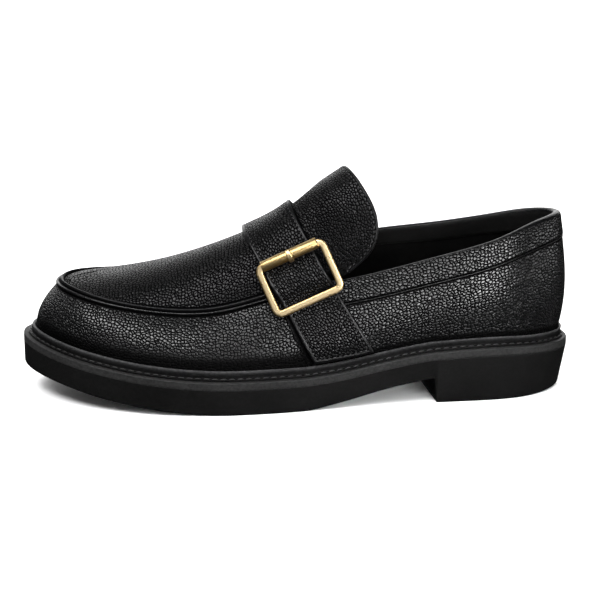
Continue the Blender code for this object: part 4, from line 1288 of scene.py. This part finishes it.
def make_straps(path):
    """Strap over the instep, the tab below the roller and the backing that shows in front."""
    ends = {sign: np.array([path.end_angle(lane * STRAP_HALF, sign) for lane in LANES])
            for sign in (1.0, -1.0)}
    split = math.radians(ROLLER_ANGLE)
    half_gap = math.radians(STRAP_PARTING)
    f = np.linspace(0.0, 1.0, STRAP_COLUMNS)[:, None]
    angles = ends[-1.0] + (split - half_gap - ends[-1.0]) * f
    middle = len(LANES) // 2
    near = ease((np.degrees(angles[:, middle]) - ROLLER_ANGLE + WAIST_BEFORE) / WAIST_BEFORE_RUN)
    half = STRAP_HALF + (STRAP_WAIST_HALF - STRAP_HALF) * near
    strap = strap_sheet(path, angles, half, 0.0, False)
    add_piece("strap_leather", strap.body, strap.quads, [strap_leather], "leather", "strap",
              None, strap.hide)
    stitched = (STITCH_LANE, -1 - STITCH_LANE)
    lines = [(strap.outer[::-1, k], strap.normal[::-1, k]) for k in stitched]

    f = steps_to_edge(TAB_FINE_FROM, coarse=150, fine=26)
    angles = split + half_gap + (ends[1.0] - split - half_gap) * f[:, None]
    far = ease((np.degrees(angles[:, middle]) - ROLLER_ANGLE - WAIST_AFTER) / WAIST_AFTER_RUN)
    half = STRAP_WAIST_HALF + (STRAP_HALF - STRAP_WAIST_HALF) * far
    centre = path.points(np.zeros(len(f)), angles[:, middle], np.zeros(len(f)))
    run = run_along(centre)
    hump = (TAB_HUMP * ease((run - HUMP_START) / HUMP_RISE_RUN)
            * (1.0 - ease((run - HUMP_START - HUMP_RISE_RUN) / HUMP_FALL_RUN)))
    tab = strap_sheet(path, angles, half, hump[:, None], True)
    add_piece("strap_tab_leather", tab.body, tab.quads, [tab_leather], "leather", "strap_tab",
              None, tab.hide)
    last_row = int(np.argmin(np.abs(run - (run[-1] - STITCH_IN))))
    down = slice(TAB_STITCH_START, last_row)
    lines += [(tab.outer[down, k], tab.normal[down, k]) for k in stitched]
    across = slice(STITCH_LANE, -STITCH_LANE)
    lines.append((tab.outer[last_row, across], tab.normal[last_row, across]))

    below = run > BUCKLE_DROP + BACKING_START
    out = np.interp(run[below], [BUCKLE_DROP, run[-1]], [BACKING_OUT_TOP, BACKING_OUT_END])
    lane = -(half[below] + out)[:, None] + column(BACKING, "inset")
    angle = np.repeat(angles[below, :1], lane.shape[1], axis=1)
    inner = path.points(lane, angle, np.zeros(lane.shape))
    rise = column(BACKING, "rise") * BACKING_THICK
    outer = path.points(lane, angle, np.broadcast_to(rise, lane.shape))
    body, quads = shell(outer.reshape(-1, 3), inner.reshape(-1, 3), *lane.shape)
    # Painted shade on the backing, darkest next to the tab, with a lit outer edge
    fold = np.tile(column(BACKING, "dark"), len(lane))
    hide = both_faces(np.full(lane.size, BACKING_GRAIN), fold, outer)
    add_piece("strap_backing", body, quads, [strap_leather], "leather", None, None, hide)
    return lines


# Sole and welt


def loop_piece(name, sections, materials, slot, replaced, dark):
    """Closed ring from sections: one list of loops, each a row of points round the shoe."""
    points = np.stack(sections + sections[:1], axis=1)
    columns, rows = points.shape[:2]
    quads = grid_quads(columns, rows, closed=True)
    # Painted shade of each section
    fold = np.tile(dark, columns)
    hide = Hide(np.ones(len(fold)), fold, flattened(points))
    add_piece(name, points.reshape(-1, 3), quads, materials, slot, replaced, None, hide)


def level(plan, height):
    return np.column_stack([plan, height(plan[:, 0])])


def sole_sides(offset, shares):
    """Outer and inner plan points of an offset feather line at places along X.

    Near the heel's front the inner points move forward, in line with its slant.
    """
    u = np.linspace(0.0, last.length, SIDE_STEPS, endpoint=False)
    row, _ = last.at(u)
    plan = last.outline(offset(row), u)
    plan = np.roll(plan, -int(np.argmax(plan[:, 0])), axis=0)
    toe = int(np.argmin(plan[:, 0]))
    x = plan[toe, 0] + (plan[0, 0] - plan[toe, 0]) * shares
    first = plan[:toe + 1][::-1]
    second = np.vstack([plan[toe:], plan[:1]])
    outer = np.column_stack([x, np.interp(x, first[:, 0], first[:, 1])])
    width = np.interp(x, second[:, 0], second[:, 1]) - outer[:, 1]
    near_breast = ease(HEEL_BREAST_EASE - np.abs(x - HEEL_BREAST_X) / HEEL_BREAST_REACH)
    inner_x = x - HEEL_BREAST_SLANT * width * near_breast
    inner = np.column_stack([inner_x, np.interp(inner_x, second[:, 0], second[:, 1])])
    return outer, inner


def taper_at(row):
    fore = TAPER_TOE + (TAPER_FORE - TAPER_TOE) * ease((row.x - TAPER_FORE_START) / TAPER_RUN)
    return fore + (TAPER_HEEL - TAPER_FORE) * ease((row.x - TAPER_HEEL_START) / TAPER_RUN)


def stations(count):
    """Places from toe to heel as shares of the length, closer together at both ends."""
    return 0.5 - 0.5 * np.cos(np.linspace(0.0, math.pi, count))


def slab(levels):
    """Solid between plan loops: levels lists (outer, inner, height) downwards."""
    loops = []
    for outer, inner, height in levels:
        plan = np.vstack([outer, inner[1:-1][::-1]])
        loops.append(np.column_stack([plan, height(*plan.T)]))
    n = len(levels[0][0])
    count = len(loops[0])
    sides = np.stack(loops, axis=1)
    quads = grid_quads(count, len(loops), closed=True)
    points = sides.reshape(-1, 3)
    caps = []
    for k, turn in ((0, 1), (len(loops) - 1, -1)):
        i = np.arange(n - 1)
        left = np.concatenate([[0], count - np.arange(1, n - 1), [n - 1]])
        cap = np.stack([i, i + 1, left[i + 1], left[i]], axis=1) * len(loops) + k
        caps.append(cap[1:-1, ::turn])
        for end in (0, -1):
            corner = list(dict.fromkeys(cap[end].tolist()))[::turn]
            caps.append(np.array([[*corner, corner[-1]]]))
    return points, quads, np.vstack(caps)


def make_sole():
    """Outsole with a rounded lower edge and a ribbed tread."""
    ends = sole_sides(lambda row: row.welt - taper_at(row), np.array([0.0, 1.0]))[0][:, 0]
    breast = (HEEL_BREAST_X - ends[0]) / (ends[1] - ends[0])
    close = breast + np.linspace(-BREAST_SPREAD, BREAST_SPREAD, BREAST_STATIONS)
    f = np.sort(np.concatenate([stations(SOLE_STATIONS), close]))
    under = -WELT_THICK - GAP
    levels = [(*sole_sides(lambda row: row.welt - SOLE_LIP, f),
               lambda x, y: welt_top(x) + under)]
    for share in SOLE_SHARES:
        sides = sole_sides(lambda row: row.welt - share * taper_at(row), f)
        levels.append((*sides, lambda x, y, k=share: (1.0 - k) * (welt_top(x) + under - SOLE_LIP)
                       + k * (tread(x, y) + SOLE_ROUND)))
    for phi in np.radians(SOLE_ROUND_DEGREES):
        inset = SOLE_ROUND * (1.0 - math.cos(phi))
        sides = sole_sides(lambda row: row.welt - taper_at(row) - inset, f)
        levels.append((*sides, lambda x, y, k=phi: tread(x, y) + SOLE_ROUND * (1.0 - math.sin(k))))
    points, quads, caps = slab(levels)
    index = np.zeros(len(quads) + len(caps))
    corners = points[caps[len(caps) // 2:]]
    normal = np.cross(corners[:, 2] - corners[:, 0], corners[:, 3] - corners[:, 1])
    level_share = np.abs(normal[:, 2]) / np.linalg.norm(normal, axis=1)
    index[len(quads) + len(caps) // 2:] = level_share > TREAD_LEVEL
    add_piece("outsole_rubber", points, np.vstack([quads, caps]), [sole_rubber, tread_rubber],
              "sole_rubber", "outsole", index)


def make_insole():
    levels = []
    for edge in INSOLE_EDGE:
        sides = sole_sides(lambda row: np.full(len(row.x), -edge.inset), stations(INSOLE_STATIONS))
        levels.append((*sides, lambda x, y, k=edge.drop: welt_top(x) + INSOLE_RISE - k))
    points, quads, caps = slab(levels)
    add_piece("insole_sock", points, np.vstack([quads, caps]), [lining_leather], "lining",
              "insole")


def wall_offset(u, height):
    """How far the wall stands outside the feather line at a height above the welt."""
    t = np.linspace(0.0, WALL_LOW_SHARE, WALL_LOW_STEPS)
    rows = np.stack([wall_points(u, np.full(len(u), k)) for k in t], axis=1)
    row, inward = last.at(u)
    plan = np.stack([row.x, row.y], axis=1)
    out = -np.einsum("ijk,ik->ij", rows[:, :, :2] - plan[:, None], inward)
    rise = rows[:, :, 2] - welt_top(row.x)[:, None]
    return np.array([np.interp(height, r, o) for r, o in zip(rise, out)])


def make_welt():
    """Grey strip with softly rounded edges."""
    u = np.linspace(0.0, last.length, LOOP_STEPS, endpoint=False)
    row, _ = last.at(u)

    def rim(edges):
        return [level(last.outline(row.welt - edge.inset, u), lambda x: welt_top(x) - edge.drop)
                for edge in edges]

    inside = last.outline(np.full(len(u), -WELT_UNDERLAP), u)
    back = [level(inside, lambda x: welt_top(x) - WELT_THICK - WELT_REACH), level(inside, welt_top)]
    sections = rim(WELT_SIDE) + back + rim(WELT_SHOULDER)
    loop_piece("welt_strip", sections, [welt_rubber], "welt_rubber", "welt",
               np.zeros(len(sections) + 1))


# Bead: out from the wall as a share of its width, up as a share of its height, and how dark its
# painted shade is, which leaves a painted highlight on the crest
BEAD = table(
    "out rise dark",
    (0.0, 0.06, 1.0), (0.0, 0.45, 1.0), (0.0, 0.78, 0.8),
    (0.06, 0.91, 0.3), (0.16, 0.98, 0.0), (0.28, 1.0, 0.0),
    (0.40, 0.96, 0.2), (0.50, 0.85, 0.5), (0.57, 0.68, 0.75),
    (0.60, 0.48, 0.9), (0.63, 0.33, 1.0), (0.70, 0.24, 1.0),
    (0.80, 0.22, 1.0), (0.92, 0.21, 0.95), (0.98, 0.18, 0.85),
    (1.0, 0.06, 0.8),
)
BEAD_LEAST = 0.5
BEAD_FOOT_FROM = 0.4
BEAD_FOOT_RUN = 0.3
STITCH_OUT = 0.80
STITCH_RISE = 0.25


def bead_loop(u, out, rise):
    row, _ = last.at(u)
    lean = wall_offset(u, max(rise * BEAD_HEIGHT, BEAD_LEAST)) + GAP
    foot = wall_offset(u, BEAD_LEAST) + GAP
    upright = ease((out - BEAD_FOOT_FROM) / BEAD_FOOT_RUN)
    stand = lean + (foot - lean) * upright + out * BEAD_SHARE * row.welt
    return level(last.outline(stand, u), lambda x: welt_top(x) + rise * BEAD_HEIGHT)


def make_bead():
    u = np.linspace(0.0, last.length, LOOP_STEPS, endpoint=False)
    sections = [bead_loop(u, row.out, row.rise) for row in BEAD]
    # Painted shade on the bead's sides, painted highlight on its crest
    dark = column(BEAD + BEAD[:1], "dark")
    loop_piece("welt_roll", sections, [bead_rubber], "bead_rubber", "welt_bead", dark)
    line = bead_loop(np.linspace(0.0, last.length, STITCH_STEPS), STITCH_OUT, STITCH_RISE)
    return line, np.tile([0.0, 0.0, 1.0], (len(line), 1))


# Stitches


# One thread along its length: place and thickness as shares, and how far it dips in
THREAD = table(
    "along swell dip",
    (-0.5, 0.35, 1.0), (-0.36, 0.85, 0.35), (-0.14, 1.0, 0.0),
    (0.14, 1.0, 0.0), (0.36, 0.85, 0.35), (0.5, 0.35, 1.0),
)
THREAD_SIDES = 6

# Stitches: distance from one to the next, share of it that shows, radius, sink and slant
Stitch = namedtuple("Stitch", "pitch share radius sink slant")
EDGE_STITCH = Stitch(2.6, 0.74, 0.32, 0.3, 0.0)
WELT_STITCH = Stitch(4.5, 0.78, 0.34, 0.35, 0.1)


def stitch_row(line, normal, stitch):
    """Short tapered threads along a line on a surface, as points and quads of one mesh."""
    run = run_along(line)
    count = max(int(run[-1] / stitch.pitch), 1)
    centre = (np.arange(count) + 0.5) * run[-1] / count
    along = column(THREAD, "along") * stitch.pitch * stitch.share
    swell = column(THREAD, "swell")
    dip = column(THREAD, "dip")
    around = np.radians(np.arange(THREAD_SIDES) * 360.0 / THREAD_SIDES)
    points = []
    for at in centre:
        place = at + along
        axis = np.column_stack([np.interp(place, run, line[:, k]) for k in range(3)])
        up = np.array([np.interp(at, run, normal[:, k]) for k in range(3)])
        up /= np.linalg.norm(up)
        ahead = axis[-1] - axis[0]
        ahead /= np.linalg.norm(ahead)
        cross = np.cross(up, ahead)
        axis = axis + np.outer(-dip * stitch.sink, up) + np.outer(along * stitch.slant, cross)
        for k in range(len(THREAD)):
            for phi in around:
                out = math.cos(phi) * cross + math.sin(phi) * up
                points.append(axis[k] + stitch.radius * swell[k] * out)
    one = tube_quads(len(THREAD), THREAD_SIDES)
    quads = np.vstack([one + k * len(THREAD) * THREAD_SIDES for k in range(count)])
    return np.array(points), quads


def make_stitches(name, lines, stitch, material, slot):
    points = []
    quads = []
    start = 0
    for line in lines:
        p, q = stitch_row(*line, stitch)
        points.append(p)
        quads.append(q + start)
        start += len(p)
    add_piece(name, np.vstack(points), np.vstack(quads), [material], slot)


# Buckle, placed on the solids of the frame

LOW_POINTS = 40

# Corners of the frame: side, whether at the lower end, and where their quarter turn starts
CORNERS = table(
    "side low start",
    (-1.0, False, 270.0), (-1.0, True, 180.0),
    (1.0, True, 90.0), (1.0, False, 0.0),
)

# Chamfered end of the roller: in from its end, and radius there
ROLLER_END = table(
    "along radius",
    (0.0, ROLLER_BORE), (0.0, ROLLER_RADIUS - 0.35),
    (0.12, ROLLER_RADIUS - 0.1), (0.4, ROLLER_RADIUS),
)


def node_points(name):
    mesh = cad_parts[name].data
    return np.array([v.co for v in mesh.vertices]) / MM - TO_CENTRE


def buckle_axes():
    """Axle centre, width, downward and outward directions, and half sizes of the frame."""
    roller = node_points("buckle_roller")
    axle = 0.5 * (roller.min(axis=0) + roller.max(axis=0))
    wide = np.linalg.svd(roller - roller.mean(axis=0), full_matrices=False)[2][0]
    wide *= math.copysign(1.0, wide[0])
    frame_points = node_points("buckle_frame") - axle
    across = frame_points - np.outer(frame_points @ wide, wide)
    low = across[np.argsort(across[:, 2])[:LOW_POINTS]].mean(axis=0)
    down = low / np.linalg.norm(low)
    out = np.cross(wide, down)
    out *= math.copysign(1.0, -out[1])
    reach = frame_points @ down
    half = 0.5 * np.ptp(frame_points @ wide)
    return axle, wide, down, out, half, reach.max(), np.ptp(roller @ wide)


def swept(rings, lift, closed=False, count=SECTION_SIDES):
    """Tube through rings, each with its centre, the direction across it and its section.

    A section is half its size across, half its size along the lift, and its squareness.
    """
    phi = 2.0 * math.pi * (np.arange(count) + 0.5) / count
    c, s = np.cos(phi), np.sin(phi)
    points = []
    for centre, side, (half_a, half_b, power) in rings:
        a = np.sign(c) * np.abs(c) ** (2.0 / power) * half_a
        b = np.sign(s) * np.abs(s) ** (2.0 / power) * half_b
        points.append(centre + np.outer(a, side) + np.outer(b, lift))
    return np.vstack(points), tube_quads(len(rings), count, closed)


def make_buckle():
    """Frame with its top bar as the axle, the roller on it and the prong over the roller."""
    axle, wide, down, out, half, reach, roller_length = buckle_axes()
    half -= 0.5 * FRAME_BAR
    length = reach - 0.5 * FRAME_BAR
    bar = (0.5 * FRAME_BAR, 0.5 * FRAME_THICK, FRAME_SQUARE)
    rings = []
    for corner in CORNERS:
        drop = length - FRAME_CORNER if corner.low else FRAME_CORNER
        middle = axle + wide * corner.side * (half - FRAME_CORNER) + down * drop
        for phi in np.radians(np.linspace(corner.start, corner.start - 90.0, CORNER_STEPS)):
            ray = wide * math.cos(phi) + down * math.sin(phi)
            rings.append((middle + ray * FRAME_CORNER, ray, bar))
    for side in (1.0, -1.0):
        end = axle + wide * side * (half - FRAME_CORNER - AXLE_SHORT)
        rings.append((end, -down, (AXLE_RADIUS, AXLE_RADIUS, ROUND_SECTION)))
    # All but the front of each bar takes the darker gold: painted shade and painted reflection
    rise = np.sin(2.0 * math.pi * np.arange(1, SECTION_SIDES + 1) / SECTION_SIDES)
    add_piece("buckle_frame_gold", *swept(rings, out, closed=True), [gold, shaded_rim_gold],
              "buckle_metal", "buckle_frame", np.tile(rise, len(rings)) < FRAME_RIM)

    length = roller_length + 2.0 * ROLLER_PAST
    along = [row.along for row in ROLLER_END] + [length - row.along for row in ROLLER_END[::-1]]
    rings = [(axle + wide * (s - 0.5 * length), down, (row.radius, row.radius, ROUND_SECTION))
             for s, row in zip(along, ROLLER_END + ROLLER_END[::-1])]
    add_piece("buckle_roller_gold", *swept(rings, out, count=ROLLER_SIDES), [roller_gold],
              "buckle_metal", "buckle_roller")

    stand = ROLLER_RADIUS + PRONG_OFF + PRONG_THICK
    centres = []
    for phi in np.radians(np.linspace(PRONG_START, PRONG_WRAP, PRONG_STEPS)):
        ray = math.cos(phi) * out + math.sin(phi) * down
        centres.append((axle + ray * stand, ray))
    onward = math.cos(phi) * down - math.sin(phi) * out
    for past in np.linspace(PRONG_PAST_START, PRONG_PAST, PRONG_PAST_STEPS):
        centres.append((axle + ray * stand + onward * past, ray))
    rings = []
    for k, (centre, ray) in enumerate(centres):
        tip = min(k, len(centres) - 1 - k, len(PRONG_TIP) - 1)
        rings.append((centre, ray, (PRONG_THICK, PRONG_HALF * PRONG_TIP[tip], PRONG_SQUARE)))
    add_piece("buckle_prong_gold", *swept(rings, wide), [prong_gold], "buckle_metal",
              "buckle_prong")


# Studio


SHOE_MIDDLE = Vector((0.0, 0.0, 0.05))
WORLD_STRENGTH = 0.02
FLOOR_HALF = 4.0
FLOOR_TONE = (0.9, 0.9, 0.9, 1.0)
FLOOR_ROUGH = 0.9

# Soft boxes that face the shoe: direction in degrees, distance and size in metres, radiance,
# and whether they show in highlights
BOXES = table(
    "name azimuth elevation distance size radiance glossy",
    ("floor_wash", 0.0, 89.0, 2.4, (3.2, 3.2), 4.6, False),
    ("left_box", -46.0, 50.0, 1.6, (1.3, 0.5), 13.0, True),
    ("right_box", 14.0, 10.0, 1.6, (0.6, 0.25), 3.0, True),
    ("quarter_box", 30.0, 9.0, 0.33, (0.13, 0.06), 26.0, True),
    ("cuff_box", 20.0, 21.0, 0.25, (0.1, 0.035), 12.0, True),
    ("tab_box", -3.5, 42.4, 0.242, (0.05, 0.03), 12.0, True),
    ("front_fill", 6.0, 36.0, 2.2, (2.0, 1.2), 0.7, True),
    ("front_card", -13.0, 11.0, 2.0, (0.6, 0.4), 1.4, True),
    ("back_card", 180.0, 22.0, 2.4, (3.0, 1.9), 2.7, True),
    ("side_card", 80.0, 3.0, 0.6, (0.5, 0.14), 4.0, True),
    ("left_card", -138.0, 22.0, 2.2, (1.0, 1.0), 1.0, True),
)


def direction(azimuth, elevation):
    """Direction in degrees: azimuth from the outer side round towards the heel."""
    a, e = math.radians(azimuth), math.radians(elevation)
    return Vector((math.sin(a) * math.cos(e), -math.cos(a) * math.cos(e), math.sin(e)))


def soft_box(box):
    ray = direction(box.azimuth, box.elevation)
    data = bpy.data.lights.new(box.name, "AREA")
    data.shape = "RECTANGLE"
    data.size, data.size_y = box.size
    data.energy = box.radiance * math.pi * box.size[0] * box.size[1]
    light = bpy.data.objects.new(box.name, data)
    light.location = SHOE_MIDDLE + ray * box.distance
    light.rotation_euler = (-ray).to_track_quat("-Z", "Y").to_euler()
    light.visible_glossy = box.glossy
    light.visible_camera = False
    bpy.context.scene.collection.objects.link(light)


def make_studio():
    world = bpy.data.worlds.new("studio")
    world.use_nodes = True
    background = world.node_tree.nodes["Background"]
    background.inputs["Color"].default_value = (1.0, 1.0, 1.0, 1.0)
    background.inputs["Strength"].default_value = WORLD_STRENGTH
    bpy.context.scene.world = world
    bpy.context.scene.view_settings.view_transform = "Standard"
    for box in BOXES:
        soft_box(box)
    mesh = bpy.data.meshes.new("floor")
    corners = [(-1, -1), (1, -1), (1, 1), (-1, 1)]
    points = [(x * FLOOR_HALF, y * FLOOR_HALF, 0.0) for x, y in corners]
    mesh.from_pydata(points, [], [range(len(points))])
    nodes = Nodes("floor_white")
    nodes.set(base_color=FLOOR_TONE, roughness=FLOOR_ROUGH)
    mesh.materials.append(nodes.material)
    floor = bpy.data.objects.new("floor", mesh)
    bpy.context.scene.collection.objects.link(floor)
    floor.visible_glossy = False


def make_camera():
    back = direction(VIEW_AZIMUTH, VIEW_ELEVATION)
    target = Vector((TO_CENTRE + np.array([0.0, 0.0, VIEW_HEIGHT])) * MM)
    data = bpy.data.cameras.new("camera")
    data.sensor_width = SENSOR
    data.lens = SENSOR * VIEW_DISTANCE * VIEW_SCALE / IMAGE
    data.shift_x = (0.5 * IMAGE - TARGET_PIXEL[0]) / IMAGE
    data.shift_y = (TARGET_PIXEL[1] - 0.5 * IMAGE) / IMAGE
    camera = bpy.data.objects.new("camera", data)
    camera.location = target + back * VIEW_DISTANCE * MM
    camera.rotation_euler = (-back).to_track_quat("-Z", "Y").to_euler()
    bpy.context.scene.collection.objects.link(camera)
    bpy.context.scene.camera = camera


def main():
    outer, skin = make_upper()
    make_lining()
    tongue, tongue_quads, tongue_line = make_tongue(outer[skin.throat])
    upper_quads = np.vstack([skin.quads, skin.apron_quads])
    path = StrapPath([(outer, upper_quads), (tongue, tongue_quads)])
    strap_lines = make_straps(path)
    make_sole()
    make_insole()
    make_welt()
    welt_line = make_bead()
    make_buckle()
    make_stitches("edge_stitches", [tongue_line, *strap_lines], EDGE_STITCH, black_thread,
                  "leather")
    make_stitches("welt_stitches", [welt_line], WELT_STITCH, welt_thread, "welt_rubber")
    make_studio()
    make_camera()


main()
